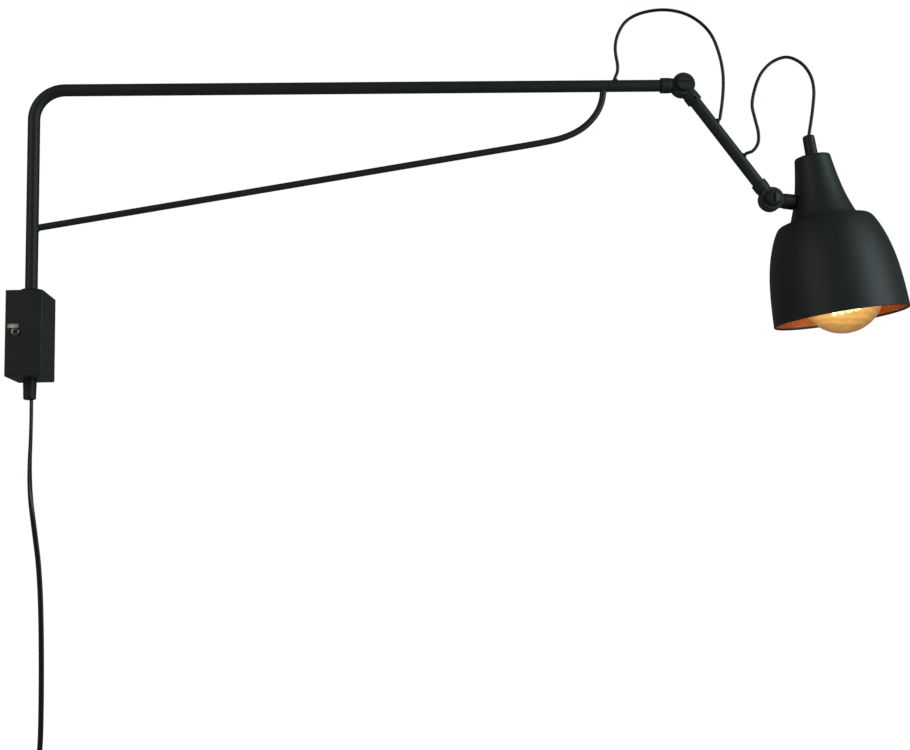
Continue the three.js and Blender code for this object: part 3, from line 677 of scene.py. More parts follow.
def powder_coat():
    """Fine-textured black powder coat: a dense low grain, slightly uneven, with a satin sheen."""
    coat = Finish("black_powder_coat", "black_powder_coat", specular_ior_level=0.5)
    grain = coat.noise(1150, 3, 0.62)
    cloud = coat.noise(38, 4, 0.55)
    patches = coat.eased(grain * 0.6 + cloud * 0.4, 0.35, 0.65)
    coat.colour(coat.mixed(patches, (0.0082, 0.0105, 0.0100), (0.0145, 0.0178, 0.0168)))
    coat.roughness(0.45 + grain * 0.12 + cloud * 0.04)
    coat.bump(grain, 0.00016, 0.55)
    return coat


coat = powder_coat()


def boxed(low, high, radius, segments=4, square=lambda middle, along: False):
    """A box with rounded edges. square(middle, along) keeps an edge sharp."""
    bm = bmesh.new()
    bmesh.ops.create_cube(bm, size=1)
    low, high = (Vector(pick(pair) for pair in zip(low, high)) for pick in (min, max))
    size = high - low
    bm.transform(Matrix.Translation((low + high) / 2) @ Matrix.Diagonal((*size, 1)))
    edges = []
    for edge in bm.edges:
        a, b = (v.co for v in edge.verts)
        if not square((a + b) / 2, (b - a).normalized()):
            edges.append(edge)
    if radius and edges:
        bmesh.ops.bevel(bm, geom=edges, offset=radius, segments=segments, profile=0.5, affect="EDGES")
    return bm


def carved(bm, cuts=(), joins=()):
    """A bmesh with others joined to it, then others cut from it."""
    holders = []

    def held(part):
        mesh = bpy.data.meshes.new("blank")
        bmesh.ops.recalc_face_normals(part, faces=part.faces)
        part.to_mesh(mesh)
        part.free()
        holder = in_scene("blank", mesh)
        holders.append(holder)
        return holder

    blank = held(bm)
    for operation, parts in (("UNION", joins), ("DIFFERENCE", cuts)):
        for part in parts:
            step = blank.modifiers.new(operation, "BOOLEAN")
            step.operation, step.solver, step.object = operation, "EXACT", held(part)
    bpy.context.view_layer.update()
    done = blank.evaluated_get(bpy.context.evaluated_depsgraph_get()).to_mesh()
    made = bmesh.new()
    made.from_mesh(done)
    for holder in holders:
        mesh = holder.data
        bpy.data.objects.remove(holder)
        bpy.data.meshes.remove(mesh)
    return made


SHEET = 0.0015
BOX_LOW, BOX_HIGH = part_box("wall_box")
POST = Vector((middle_of("post_bush").x, 0, 0))
LOCK = {"x": 0.0099, "z": 0.0007, "hole": 0.0020}
SLOT_LOW, SLOT_HIGH = (0.002, 0.0046), (0.0126, 0.009)
FOLD_R, RIM_R, INNER_R = 0.0022, 0.001, 0.0009
FOLD_STEPS, RIM_STEPS = 8, 4
CLEAR_Y = 0.04


def quarter_turn(steps):
    return [math.pi / 2 * i / steps for i in range(steps + 1)]


def folded_section(inset):
    """The case's level section as (y, x) pairs: square at the wall, round at its two front bends."""
    half_y, front, r = BOX_HIGH.y - inset, BOX_HIGH.x - inset, FOLD_R - inset
    angles = quarter_turn(FOLD_STEPS)
    near = [(-half_y + r - r * math.cos(a), front - r + r * math.sin(a)) for a in angles]
    far = [(half_y - r + r * math.sin(a), front - r + r * math.cos(a)) for a in angles]
    return [(-half_y, BOX_LOW.x), *near, *far, (half_y, BOX_LOW.x)]


top_rim = [(BOX_HIGH.z - RIM_R + RIM_R * math.sin(a), folded_section(RIM_R - RIM_R * math.cos(a)))
           for a in quarter_turn(RIM_STEPS)]
case = lofted([(-height, section) for height, section in reversed(top_rim)] + top_rim)
hollow_low = Vector((-0.002, BOX_LOW.y + SHEET, BOX_LOW.z + SHEET))
hollow = boxed(hollow_low, BOX_HIGH - Vector((SHEET, SHEET, SHEET)), INNER_R, 3)
slot_cut = boxed((SLOT_LOW[0], -CLEAR_Y, SLOT_LOW[1]), (SLOT_HIGH[0], CLEAR_Y, SLOT_HIGH[1]), INNER_R, 4,
                 lambda middle, along: abs(along.y) < 0.5)
lock_hole = rod(on_axis((LOCK["x"], 0, LOCK["z"]), (0, 1, 0)), LOCK["hole"], -CLEAR_Y, CLEAR_Y, 40)
post_hole = rod(on_axis(POST), 0.0078, 0.033, 0.045, 48)
cord_hole = rod(on_axis(POST), 0.0061, -0.045, -0.033, 48)
shown("box_case", carved(case, (hollow, slot_cut, lock_hole, post_hole, cord_hole)), coat, "wall_unit",
      "wall_box", weighted=True)


def plated(name, slot, colour, rough, metal=1.0):
    """Bright plating over steel or brass, with faint spangle and handling marks."""
    plate = Finish(name, slot, metallic=metal)
    spangle = plate.node("ShaderNodeTexVoronoi", None, {"Vector": plate.place(), "Scale": 420}, "Distance")
    marks = plate.noise(180, 5, 0.65)
    deeper = tuple(c * 0.72 for c in colour)
    plate.colour(plate.mixed(marks * 0.6 + spangle * 0.4, colour, deeper))
    plate.roughness(rough + marks * 0.16)
    plate.bump(marks, 0.00003, 0.5)
    return plate


zinc = plated("bright_zinc", None, (0.80, 0.81, 0.79), 0.3)
clear_zinc = plated("clear_zinc_plate", None, (0.97, 0.98, 0.97), 0.42, 0.08)


def screw_zinc(recess_floor):
    """Yellow zinc on a screw head, with near black painted shade down in its cross recess and under its rim."""
    plate = Finish("yellow_zinc_screw", "black_powder_coat", metallic=1.0)
    across = plate.node("ShaderNodeSeparateXYZ", None, {0: plate.place()}, "Y")
    height = plate.node("ShaderNodeMath", {"operation": "ABSOLUTE"}, {0: across})
    out_of_painted_shade = plate.eased(height, recess_floor + 0.0006, recess_floor + 0.0015)
    marks = plate.noise(420, 5, 0.65)
    bright = plate.mixed(marks, (0.30, 0.27, 0.17), (0.20, 0.18, 0.11))
    # Painted shade: near black where the head is within about a millimetre of its seat, in the recess and under
    # the rim.
    plate.colour(plate.mixed(out_of_painted_shade, (0.010, 0.010, 0.008), bright))
    plate.roughness(0.62 - out_of_painted_shade * 0.34 + marks * 0.14)
    plate.bump(marks, 0.00003, 0.5)
    return plate


# Lock screws: low round heads with a rolled rim and a deep cross recess, in yellow zinc.
SCREW_SEAT = BOX_HIGH.y + 0.0003
RECESS_LONG, RECESS_WIDE = 0.0021, 0.0005
yellow_zinc = screw_zinc(SCREW_SEAT)
lock_line = eased(mm((0, -7), (1.7, -7), (1.7, 0.0), (4.2, 0.0), (4.2, 0.9), (3.5, 2.0), (1.9, 2.4),
                     (0, 2.4)),
                  0.0006, 4)
for side, node, name in ((-1, "lock_screw_front", "lock_screw_near"),
                         (1, "lock_screw_back", "lock_screw_far")):
    seat = Vector((LOCK["x"], side * SCREW_SEAT, LOCK["z"]))
    arms = [boxed(seat - Vector((x, 0, z)), seat + Vector((x, side * 0.004, z)), 0.0002, 2)
            for x, z in ((RECESS_LONG, RECESS_WIDE), (RECESS_WIDE, RECESS_LONG))]
    head = carved(turned(lock_line, on_axis(seat, (0, side, 0)), 48), arms)
    shown(name, head, yellow_zinc, "wall_unit", node, weighted=True)

# ---- Post bush, gland and the pieces inside the box ----
# The flanged bush that the post turns in, and the cord's gland with a fine knurl, tapering to the cord.
bush = eased(mm((6.3, 27), (7.5, 27), (7.5, 41.3), (11.8, 41.3), (11.8, 44), (9.2, 46.2), (6.3, 46.2),
                (6.3, 27)),
             0.0004)
shown("post_bush_flange", turned(bush, on_axis(POST), 72), coat, "wall_unit", "post_bush")

GRIP_FROM, GRIP_TO = -0.0575, -0.0425
KNURL_TEETH, KNURL_PITCH = 22, 0.0022


def knurl(angle, height):
    """Fine crossed knurling, cut about a fifth of a millimetre deep, on the gland's grip."""
    if not GRIP_FROM < height < GRIP_TO:
        return 0
    lean = height / KNURL_PITCH
    crossed = math.cos(KNURL_TEETH * angle + lean) * math.cos(KNURL_TEETH * angle - lean)
    return -0.0001 + 0.00011 * crossed


gland = mm((3.55, -60.6), (4.5, -60.6), (6.0, -59.7))
gland += [(0.0060 + 0.0006 * i / 20, -0.0590 + 0.0170 * i / 20) for i in range(21)]
gland += mm((6.6, -41.3), (5.7, -41.3), (5.7, -35), (3.55, -35), (3.55, -60.6))
shown("cord_gland", turned(gland, on_axis(POST), 176, knurl), moulded, "wall_unit", "mains_gland", sharp=50)


def bakelite():
    """Dark brown-black thermoset with a dull gloss and faint flow marks."""
    resin = Finish("bakelite", "bakelite", specular_ior_level=0.5)
    flow = resin.node("ShaderNodeTexWave", {"wave_type": "BANDS", "bands_direction": "Z"},
                      {"Vector": resin.place(), "Scale": 38.0, "Distortion": 9.0, "Detail": 3.0}, "Fac")
    resin.colour(resin.mixed(flow, (0.010, 0.0075, 0.006), (0.020, 0.014, 0.010)))
    resin.roughness(0.28 + resin.noise(400, 3) * 0.14)
    return resin


def nylon():
    """Milky white nylon, slightly uneven."""
    body = Finish("white_nylon")
    body.colour(body.mixed(body.noise(140, 4), (0.70, 0.67, 0.60), (0.80, 0.78, 0.72)))
    body.roughness(0.38 + body.noise(700, 3) * 0.12)
    return body


resin = bakelite()
brass = plated("plain_brass", "brass", (0.72, 0.50, 0.20), 0.25)
white_nylon = nylon()

# Pieces that stay as they are made in the frame, each with its own finish and its edges taken off.
INSIDE = {
    "wall_bracket": clear_zinc, "bearing_shelf": zinc, "post_collar": zinc, "gland_nut": zinc,
    "stub_nut": zinc,
    "lower_bush": brass, "collar_set_screw": coat, "gland_locknut": resin, "terminal_block": white_nylon,
    "elbow_spring_washer": zinc, "tilt_spring_washer": zinc, "inner_arm_cable": sheath,
    "inner_second_arm_cable": sheath,
}
for node, finish in INSIDE.items():
    kept = frame["nodes"][node]
    kept.data.materials.clear()
    kept.data.materials.append(finish.material)
    edge = kept.modifiers.new("broken_edges", "BEVEL")
    edge.width, edge.segments, edge.limit_method, edge.angle_limit = 0.00025, 2, "ANGLE", math.radians(40)

# ---- Main arm and brace ----
# One 12 mm steel tube, drawn round a 30 mm bend, and a 6.5 mm rod welded in under it, both coated
# black together. The rod leaves the post straight, then sweeps up square into the arm.
TUBE_R, TUBE_BORE = 0.006, 0.0048
ARM_Z = JOINTS["elbow"].z
BEND_R = 0.030
TUBE_START = 0.014
BRACE_R = 0.00325
BRACE_FOOT = Vector((POST.x + 0.0046, 0, 0.1069))
BRACE_STRAIGHT_TO = Vector((0.505, 0, 0.1849))
BRACE_SWEEP = mm((522, 0, 187.9), (537, 0, 191.2), (550, 0, 196), (561, 0, 202.4), (570, 0, 210.6),
                 (576.8, 0, 220), (581, 0, 230), (582.9, 0, 240.7))


def tube(stations, radius, bore, segments=40):
    """A tube wall along the stations, open at both ends."""
    outer = swept(stations, outline(2 * radius, 2 * radius, segments))
    ends = [(stations[0] - stations[1]).normalized(), (stations[-1] - stations[-2]).normalized()]
    longer = [stations[0] + ends[0] * 0.001, *stations[1:-1], stations[-1] + ends[1] * 0.001]
    return carved(outer, (swept(longer, outline(2 * bore, 2 * bore, segments)),))


def bend(middle, radius, start, end, steps):
    """Points round a bend in the arm's plane, both ends included."""
    angles = [math.radians(start + (end - start) * i / steps) for i in range(steps + 1)]
    return [middle + Vector((radius * math.cos(a), 0, radius * math.sin(a))) for a in angles]


BEND_MIDDLE = Vector((POST.x + BEND_R, 0, ARM_Z - BEND_R))
post_foot = Vector((POST.x, 0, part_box("main_arm")[0].z))
arm_end = Vector((JOINTS["elbow"].x - TUBE_START, 0, ARM_Z))
arm_line = [post_foot, *bend(BEND_MIDDLE, BEND_R, 180, 90, 24), arm_end]
cable_exit = Vector((UPPER_LOOP[0][0] + 0.0004, 0, ARM_Z))


def drilled(place, along):
    """A drill's path from a tube's middle out through one side."""
    return rod(on_axis(place, along), 0.0024, 0, 0.012, 32)


arm_tube = carved(tube(arm_line, TUBE_R, TUBE_BORE), (drilled(cable_exit, (0, 0, 1)),))
shown("main_arm_tube", arm_tube, coat, "arm", "main_arm", weighted=True)

straight = evenly([BRACE_FOOT, BRACE_STRAIGHT_TO], 0.06)
brace_line = straight[:1] + flowing(straight[1:] + [Vector(p) for p in BRACE_SWEEP], 0.0035)
shown("brace", swept(brace_line, outline(2 * BRACE_R, 2 * BRACE_R, 28)), coat, "arm", "brace_rod", sharp=60)
WELD = 0.0013


def weld(name, middle, along):
    """A small fillet weld where the brace meets a tube: middle is on the tube's axis."""
    along = Vector(along).normalized()
    across = Vector((0, 1, 0))
    other = along.cross(across)
    bm = bmesh.new()
    rows, around = 7, 64
    rings = []
    for row in range(rows + 3):
        ring = []
        for k in range(around):
            a = 2 * math.pi * k / around
            size = WELD + 0.00012 * math.cos(13 * a) + 0.00006 * math.cos(5 * a + 1)
            sweep = math.pi / 2 * min(row, rows) / rows
            reach = BRACE_R - 0.0002 + size * (1 - math.cos(sweep))
            rise = size * (1 - math.sin(sweep))
            if row > rows:
                reach, rise = (reach, -0.0004) if row == rows + 1 else (BRACE_R - 0.0008, -0.0004)
            sideways = reach * math.cos(a)
            surface = math.sqrt(max(TUBE_R ** 2 - sideways ** 2, 0)) - 0.0001
            place = middle + across * sideways + other * reach * math.sin(a)
            ring.append(bm.verts.new(place + along * (surface + rise)))
        rings.append(ring)
    skinned(bm, rings, closed=True)
    shown(name, bm, coat, "arm", sharp=70)


foot_run = (straight[1] - BRACE_FOOT).normalized()
weld("brace_foot_weld", BRACE_FOOT - foot_run * (0.0046 / foot_run.x), foot_run)
weld("brace_head_weld", Vector((BRACE_SWEEP[-1][0] + 0.0002, 0, ARM_Z)), (-0.03, 0, -1))

# ---- Grommets ----
# Small rubber grommets in the drilled holes, a cable's thickness in the bore.
elbow, knee = JOINTS["elbow"], JOINTS["shade_tilt"]
second_arm_run = (knee - elbow).normalized()
second_arm_up = Vector((-second_arm_run.z, 0, second_arm_run.x))
UPPER_HOLE, LOWER_HOLE = (elbow + second_arm_run * at for at in (0.0500, 0.0939))
grommet_line = eased(mm((1.62, 4.9), (2.3, 4.9), (2.3, 6.3), (2.8, 6.3), (2.6, 7.1), (1.62, 7.3),
                        (1.62, 4.9)),
                     0.0004, 4)
for name, node, place, up, body in (
    ("arm_cable_grommet", "arm_grommet", cable_exit, Vector((0, 0, 1)), "arm"),
    ("upper_cable_grommet", "second_arm_upper_grommet", UPPER_HOLE, second_arm_up, "forearm"),
    ("lower_cable_grommet", "second_arm_lower_grommet", LOWER_HOLE, second_arm_up, "forearm"),
):
    shown(name, turned(grommet_line, on_axis(place, up), 40), moulded, body, node, sharp=50)

# ---- Knuckles ----
# Cast zinc halves, coated black: a disc on each side of the joint's middle and a socket for the tube.
# A broad slotted screw clamps them from the near side, with a washer and a nut on the far side.
KNUCKLE = {"r": 0.0116, "thick": 0.007, "collar_r": 0.0078, "collar_from": 0.009, "reach": 0.0213,
           "bore": 0.0043}
ARM_SOCKET_REACH, STUB_REACH = 0.0224, 0.0236
SCREW_CAP_R = 0.0077
HALF_GAP = 0.00015
SET_SCREW_AT = 0.0185
SHANK_R, THREAD_ROOT, SHANK_END = 0.004, 0.00375, -0.0138
PITCH = 0.001


def knuckle_half(name, node, body, pivot, side, towards, reach=KNUCKLE["reach"], socket=True,
                 set_screw=False):
    """A disc on one side of the pivot, with a collar: a socket for the tube, or a threaded stub."""
    r, thick, collar_r, start = (KNUCKLE[key] for key in ("r", "thick", "collar_r", "collar_from"))
    towards = Vector(towards).normalized()
    across = on_axis(pivot, (0, side, 0))
    outwards = on_axis(pivot, towards)
    disc = turned(eased([(0, HALF_GAP), (r, HALF_GAP), (r, thick), (0, thick)], 0.0007, 4), across, 72)
    rim = [(0, start), (collar_r - 0.0004, start), (collar_r - 0.0004, 0.0128), (collar_r, 0.0134),
           (collar_r, reach), (0, reach)]
    collar = turned(eased(rim, 0.0007, 4), outwards, 56)
    cuts = [rod(across, r + 0.0003, -0.012, HALF_GAP, 72), rod(across, KNUCKLE["bore"], -0.002, 0.009, 40)]
    if socket:
        cuts.append(rod(outwards, TUBE_R + 0.0002, TUBE_START - 0.0003, reach + 0.002, 48))
    if set_screw:
        cuts.append(rod(on_axis(pivot + towards * SET_SCREW_AT, (0, -1, 0)), 0.0015, 0.004, 0.009, 24))
    half = carved(disc, cuts, (collar,))
    if not socket:
        thread = [(0, reach - PITCH)]
        for i in range(8):
            thread += [(0.0045, reach - PITCH + i * PITCH), (0.0048, reach - PITCH / 2 + i * PITCH)]
        thread += [(0.0044, reach + 0.007), (0, reach + 0.007)]
        half = carved(half, (), (turned(thread, outwards, 40),))
    return shown(name, half, coat, body, node, weighted=True)


def knuckle_screw(name, node, body, pivot, domed):
    """A coated screw with a broad slotted head; its shank fills the bore and ends past the nut."""
    seat = KNUCKLE["thick"] + 0.0003
    top = seat + (0.005 if domed else 0.0036)
    cap_r = SCREW_CAP_R
    if domed:
        head = [(cap_r, seat), (cap_r, seat + 0.0018), (cap_r - 0.0006, seat + 0.0032),
                (cap_r - 0.002, seat + 0.0043), (cap_r - 0.0045, top)]
    else:
        head = [(cap_r, seat), (cap_r, top - 0.0006), (cap_r - 0.0008, top)]
    threads = []
    for i in range(6):
        threads += [(THREAD_ROOT, -0.0137 + i * PITCH), (SHANK_R, -0.0132 + i * PITCH)]
    profile = [(0, SHANK_END), (0.0034, SHANK_END), *threads, (SHANK_R, -0.007), (SHANK_R, seat),
               *eased(head, 0.0008, 4), (0, top)]
    made = turned(profile, on_axis(pivot, (0, -1, 0)), 72)
    half_x, half_z = (0.0012, 0.009) if domed else (0.009, 0.0018)
    groove = boxed((pivot.x - half_x, -top - 0.001, pivot.z - half_z),
                   (pivot.x + half_x, -top + 0.0015, pivot.z + half_z), 0.0003, 2)
    return shown(name, carved(made, (groove,)), coat, body, node, weighted=True)


NUT = {"corner": 0.013 / math.sqrt(3), "bore": 0.0041, "low": 0.0089, "high": 0.0129, "ease": 0.0009}


def thin_nut(name, node, body, pivot):
    """A hexagon nut with its corners turned off at both faces."""
    corner, low, high, ease = (NUT[key] for key in ("corner", "low", "high", "ease"))
    place = on_axis(pivot, (0, 1, 0))
    flat, outside, tip = corner * 0.86, corner * 1.4, corner + 0.0001
    corners = [(flat, low - 0.0001), (outside, low - 0.0001), (outside, high + 0.0001), (flat, high + 0.0001),
               (tip, high - ease), (tip, low + ease), (flat, low - 0.0001)]
    cuts = (turned(corners, place, 72), rod(place, NUT["bore"], low - 0.001, high + 0.001, 40))
    shown(name, carved(rod(place, corner, low, high, 6), cuts), coat, body, node, weighted=True)


STUB_DROP = math.radians(7.6)
stub_run = Vector((math.cos(STUB_DROP), 0, -math.sin(STUB_DROP)))
knuckle_half("elbow_arm_half", "elbow_fixed_half", "arm", elbow, 1, (-1, 0, 0), ARM_SOCKET_REACH)
knuckle_half("elbow_second_half", "elbow_moving_half", "forearm", elbow, -1, second_arm_run, set_screw=True)
knuckle_half("tilt_arm_half", "tilt_fixed_half", "forearm", knee, -1, -second_arm_run)
knuckle_half("tilt_shade_half", "tilt_moving_half", "shade_head", knee, 1, stub_run, STUB_REACH, socket=False)
knuckle_screw("elbow_pivot_screw", "elbow_screw", "arm", elbow, domed=False)
knuckle_screw("tilt_pivot_screw", "tilt_screw", "forearm", knee, domed=True)
thin_nut("elbow_thin_nut", "elbow_nut", "arm", elbow)
thin_nut("tilt_thin_nut", "tilt_nut", "forearm", knee)

# ---- Second arm ----
# A straight length of the same tube between the knuckles, drilled for the two grommets.
second_line = [elbow + second_arm_run * TUBE_START, elbow + second_arm_run * ((knee - elbow).length - TUBE_START)]
holes = [drilled(place, second_arm_up) for place in (UPPER_HOLE, LOWER_HOLE)]
shown("second_arm_tube", carved(tube(second_line, TUBE_R, TUBE_BORE), holes), coat, "forearm", "second_arm",
      weighted=True)

# ---- Shade ----
# A spun steel cone stands on a spun bell, both 1.2 mm thick and coated black outside. The cone's foot
# flares where it sits on the bell. The bell is painted copper inside.
SHADE_TILT = math.radians(6.5)
SHADE_TOP = knee + Vector((0.0451, 0, 0.0408))
shade_up = Vector((-math.sin(SHADE_TILT), 0, math.cos(SHADE_TILT)))
on_shade = on_axis(SHADE_TOP, shade_up)
SHADE_WALL = 0.0012
RIM_DEPTH = 162.4


def dipped(*rows):
    """(radius, depth below the neck's top) in millimetres, as (radius, height) in metres."""
    return [(radius / 1000, -depth / 1000) for radius, depth in rows]


def curved(profile, spacing=0.0016):
    """A smooth spun outline through the given points."""
    return [(p.x, p.z) for p in flowing([Vector((r, 0, h)) for r, h in profile], spacing)]


def walled(outer, thick, inset=0.0):
    """A sheet wall inside an outer profile, as a closed profile with its ends rounded."""
    def moved(by):
        shifted = []
        for i, (r, h) in enumerate(outer):
            a, b = outer[max(i - 1, 0)], outer[min(i + 1, len(outer) - 1)]
            run = math.hypot(b[0] - a[0], b[1] - a[1])
            shifted.append((r + by * (b[1] - a[1]) / run, h - by * (b[0] - a[0]) / run))
        return shifted

    skin, back = moved(inset), moved(inset + thick)
    far = [skin[-1], back[-1]]
    swell = ((far[0][0] + far[1][0]) / 2, (far[0][1] + far[1][1]) / 2 - thick * 0.35)
    return [*skin, swell, *back[::-1], skin[0]]


neck_outer = dipped((5.2, -3), (9.0, -3.0), (13.6, -3.0)) + curved(dipped(
    (15.4, -2.95), (17, -2.4), (17.8, -0.7), (18.1, 1.9), (19.6, 12), (21.7, 24), (24.3, 36), (27.1, 46),
    (29.9, 54), (31.5, 58.3), (32.6, 60.6), (33.6, 62.1)))
stub_hole = rod(on_axis(knee, stub_run), 0.0051, 0.012, 0.034, 32)
neck = carved(turned(walled(neck_outer, SHADE_WALL), on_shade, 128), (stub_hole,))
shown("shade_neck_cone", neck, coat, "shade_head", "shade_neck", sharp=45, weighted=True)

BELL = dipped((21, 63.1), (30, 63.12), (38, 63.15)) + curved(dipped(
    (39.5, 63.2), (43.6, 64.3), (46.3, 66.5), (49.3, 71.5), (53.1, 80), (58, 95), (61.6, 112), (63.8, 130),
    (65, 147), (65.7, RIM_DEPTH)))
shown("bell", turned(walled(BELL, SHADE_WALL), on_shade, 192), coat, "shade_head", "shade_bell", sharp=50)


def copper_paint():
    """Copper-coloured metal paint, sprayed on, with a soft shine and fine flake."""
    paint = Finish("copper_inside", specular_ior_level=0.5, metallic=0.25)
    flake = paint.noise(2200, 2)
    cloud = paint.noise(30, 3)
    paint.colour(paint.mixed(flake * 0.5 + cloud * 0.5, (0.62, 0.155, 0.022), (0.74, 0.225, 0.045)))
    paint.roughness(0.36 + flake * 0.12)
    paint.bump(flake, 0.00004, 0.4)
    return paint


LINING_STOPS_SHORT, LINING = 0.9, 0.00012
lining_line = [p for p in BELL if p[1] > -(RIM_DEPTH - LINING_STOPS_SHORT) / 1000]
shown("bell_copper_lining", turned(walled(lining_line, LINING, SHADE_WALL + 0.00004), on_shade, 192),
      copper_paint(), "shade_head", sharp=70)

# ---- Shade gland ----
# The moulded gland on top of the neck, gripping the cable, with a chamfered mouth.
shade_gland = dipped((1.62, -25), (4.3, -25), (5.75, -23.9), (6.0, -20), (6.15, -9), (6.15, -3.3),
                     (4.8, -3.3),
                     (4.8, 9), (1.62, 9), (1.62, -25))
shown("shade_cable_gland", turned(eased(shade_gland, 0.0006, 4), on_shade, 72), moulded, "shade_head",
      "shade_gland", sharp=50)

# ---- Lamp holder and ring ----
# A screw-shell holder with a threaded skirt, and the gripped ring that clamps the bell's crown to it.


def threads(count, crest, root, first, pitch, half):
    """Screw threads as (radius, depth) pairs: a crest, and half a pitch deeper its root."""
    return [pair for i in range(count) for pair in ((crest, first + i * pitch),
                                                    (root, first + half + i * pitch))]


holder = [(0, 9.4), (10, 9.4), (16, 14), (16, 26), (17.2, 27), (17.2, 52),
          *threads(9, 18.8, 18.3, 53, 2.8, 1.4),
          (18.3, 78.4), (17.8, 79), (15.0, 79), *threads(5, 14.4, 14.8, 77.5, -3.6, -1.8), (14.4, 59.6),
          (0, 59.6)]
shown("screw_shell_holder", turned(dipped(*holder), on_shade, 72), resin, "shade_head", "lamp_holder",
      sharp=50)


def grips(angle, height):
    """Shallow finger notches round the ring."""
    return -0.0007 * max(0.0, math.cos(18 * angle)) ** 3


ring = eased(dipped((19.1, 64.6), (25.6, 64.6), (25.6, 70.2), (24.2, 71.6), (19.1, 71.6), (19.1, 64.6)),
             0.0005)
shown("holder_clamp_ring", turned(ring, on_shade, 144, grips), resin, "shade_head", "holder_ring", sharp=50)

# ---- Bulb ----
# An 80 mm globe in amber glass on a brass screw cap, with a stem and a cage of glowing wire. It hangs
# slightly askew in its holder.
BULB_LEAN = math.radians(3.8)
BULB_PIVOT = 70.0
bulb_up = Vector((-math.sin(SHADE_TILT + BULB_LEAN), 0, math.cos(SHADE_TILT + BULB_LEAN)))
bulb_pivot = SHADE_TOP - shade_up * (BULB_PIVOT / 1000)
on_bulb = on_axis(bulb_pivot + bulb_up * (BULB_PIVOT / 1000), bulb_up)
GLOBE_R, GLOBE_DEPTH, GLASS, NECK_R = 40.0, 138.6, 0.9, 15.0

cap = [(0, 60.2), (4, 60.2), (5, 62), (11.5, 64.5), *threads(5, 12.5, 13.2, 66.0, 3.4, 1.6), (12.6, 82.4),
       (13.1, 84.2), (12, 84.2), (12, 68), (0, 68)]
shown("screw_cap", turned(eased(dipped(*cap), 0.0004), on_bulb, 72), brass, "shade_head", "bulb_cap",
      sharp=50)


def globe_line(radius, neck):
    """Half of a globe's outline, from the foot of its neck round to the middle of its bottom."""
    fillet = math.radians(31)
    arc = [math.pi - fillet - (math.pi - fillet) * i / 56 for i in range(57)]
    round_part = [(radius * math.sin(a), GLOBE_DEPTH + radius * math.cos(a)) for a in arc]
    throat = [(neck, 84.6), (neck, 91.0), (neck + 0.35, 96.0), (neck + 1.9, 100.2)]
    neck_part = [(x * 1000, -z * 1000) for x, z in curved(dipped(*throat, round_part[0]), 0.0012)]
    return [*neck_part, *round_part[1:]]


def amber_glass():
    """Amber-lacquered blown glass with faint streaks, deeper at its edge, with a painted glow of the lit wire's
    light.
    """
    glass = Finish("amber_glass", "amber_glass", roughness=0.07, specular_ior_level=0.7,
                   emission_strength=1.0)
    edge = glass.node("ShaderNodeLayerWeight", None, {"Blend": 0.35}, "Facing")
    streak = glass.node("ShaderNodeTexWave", {"wave_type": "BANDS", "bands_direction": "Z"},
                        {"Vector": glass.place(), "Scale": 62.0, "Distortion": 7.0, "Detail": 3.0,
                         "Detail Scale": 0.6}, "Fac")
    haze = glass.noise(70, 4)
    below = glass.node("ShaderNodeVectorMath", {"operation": "SUBTRACT"},
                       {0: tuple(on_bulb.translation), 1: glass.place()}, "Vector")
    depth = glass.node("ShaderNodeVectorMath", {"operation": "DOT_PRODUCT"}, {0: below, 1: tuple(bulb_up)},
                       "Value")
    # Painted glow: emission standing for the wire's light in the glass, in a band round the wire's depth,
    # brightest where the glass faces square on.
    lit_band = glass.eased(depth, 0.128, 0.154) * glass.eased(depth, 0.152, 0.181, 1.0, 0.66)
    square_on = 1 - edge
    glow = lit_band * (0.66 + streak * 0.22 + haze * 0.36) * (0.10 + square_on ** 1.6 * 0.98)
    glass.colour(glass.mixed(edge, (0.36, 0.19, 0.06), (0.34, 0.20, 0.10)))
    glass.feed(glass.shader, "Alpha", glass.eased(depth, 0.148, 0.172, 0.60, 0.86) + haze * 0.08)
    warm = glass.ramp(glow, (0.0, (0.07, 0.032, 0.010)), (0.30, (0.34, 0.16, 0.04)),
                      (0.62, (0.76, 0.38, 0.09)), (1.0, (1.0, 0.66, 0.22)))
    glass.feed(glass.shader, "Emission Color", warm)
    return glass


outer_line = globe_line(GLOBE_R, NECK_R)
inner_line = globe_line(GLOBE_R - GLASS, NECK_R - GLASS)
globe = dipped(*outer_line, *inner_line[::-1], outer_line[0])
globe_piece = shown("amber_globe", turned(globe, on_bulb, 128), amber_glass(), "shade_head", "bulb_globe",
                    sharp=70)
globe_piece.visible_shadow = False
globe_piece.visible_diffuse = False


def clear_stem():
    """The pressed glass stem, with a faint painted glow as if lit from below."""
    stem = Finish("stem_glass", "amber_glass", roughness=0.1, emission_strength=0.3,
                  emission_color=(0.8, 0.4, 0.12))
    stem.colour(stem.mixed(stem.noise(200, 2), (0.75, 0.45, 0.18), (0.85, 0.55, 0.25)))
    return stem


stem_line = eased(dipped((0, 85), (9, 85), (9, 88), (4, 94), (2.2, 104), (1.6, 128), (2.4, 133), (1.6, 136),
                         (0, 136)), 0.002, 5)
stem_piece = shown("glass_stem", turned(stem_line, on_bulb, 40), clear_stem(), "shade_head", "bulb_stem",
                   sharp=70)
stem_piece.visible_shadow = False

# The wire runs up and down a cage of ten strands, wider at its foot, in one length.
STRANDS = 10
STRAND_STEPS = 6
CAGE = {"top_r": 5.0, "top": 122.6, "foot_r": 13.0, "foot": 157.0, "wire": 0.0011, "crimp": 0.0010,
        "crimped": 4}


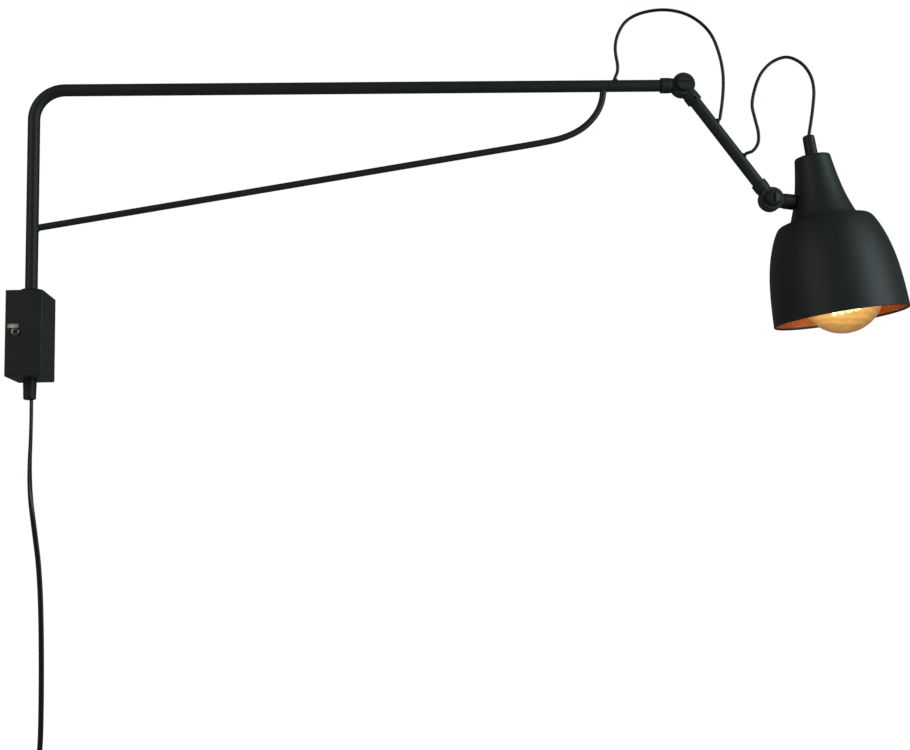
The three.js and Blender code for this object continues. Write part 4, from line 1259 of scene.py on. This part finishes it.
def cage_line():
    """The wire's route: down one strand, round a hook, up the next."""
    points = []
    for k in range(2 * STRANDS):
        a = math.pi * (k + 0.5) / STRANDS
        down = k % 2 == 0
        for i in range(STRAND_STEPS + 1):
            share = i / STRAND_STEPS if down else 1 - i / STRAND_STEPS
            r = CAGE["top_r"] + (CAGE["foot_r"] - CAGE["top_r"]) * share
            z = -CAGE["top"] - (CAGE["foot"] - CAGE["top"]) * share
            points.append(Vector((r * math.cos(a), r * math.sin(a), z)) / 1000)
    return flowing(points, 0.0016)


def lit_wire():
    """Carbon wire at full heat, its heat varying a little at random along it."""
    wire = Finish("lit_wire", "lit_filament", emission_strength=30.0, roughness=0.5,
                  base_color=(0.2, 0.1, 0.05))
    heat = wire.noise(320, 2)
    wire.feed(wire.shader, "Emission Color", wire.mixed(heat, (1.0, 0.66, 0.26), (1.0, 0.82, 0.46)))
    return wire


def wire_sides(points):
    """A steady sideways for each point of the wire, so that it doesn't twist."""
    side = Vector((0, 0, 1)).cross(points[1] - points[0]).normalized()
    sides = []
    for i, here in enumerate(points):
        along = (points[min(i + 1, len(points) - 1)] - points[max(i - 1, 0)]).normalized()
        side = (side - along * side.dot(along)).normalized()
        sides.append(side)
    return sides


wire_points = cage_line()


def wire_section(share):
    """Round wire, thicker where it is crimped at the cage's foot."""
    here = wire_points[round(share * (len(wire_points) - 1))]
    crimp = smooth((-here.z * 1000 - CAGE["foot"] + CAGE["crimped"]) / CAGE["crimped"])
    across = CAGE["wire"] + CAGE["crimp"] * crimp
    return outline(across, across, 8)


wire_bm = swept(wire_points, wire_section, wire_sides(wire_points))
wire_bm.transform(on_bulb)
wire_piece = shown("glowing_cage_wire", wire_bm, lit_wire(), "shade_head", "bulb_filament", sharp=60)
wire_piece.visible_diffuse = False

bulb_light = bpy.data.lights.new("bulb_light", "POINT")
bulb_light.energy = 0.022
bulb_light.color = (1.0, 0.60, 0.27)
bulb_light.shadow_soft_size = 0.016
lit = in_scene("bulb_light", bulb_light)
lit.location = on_bulb @ Vector((0, 0, -0.146))
lit.parent = frame["bodies"]["shade_head"]
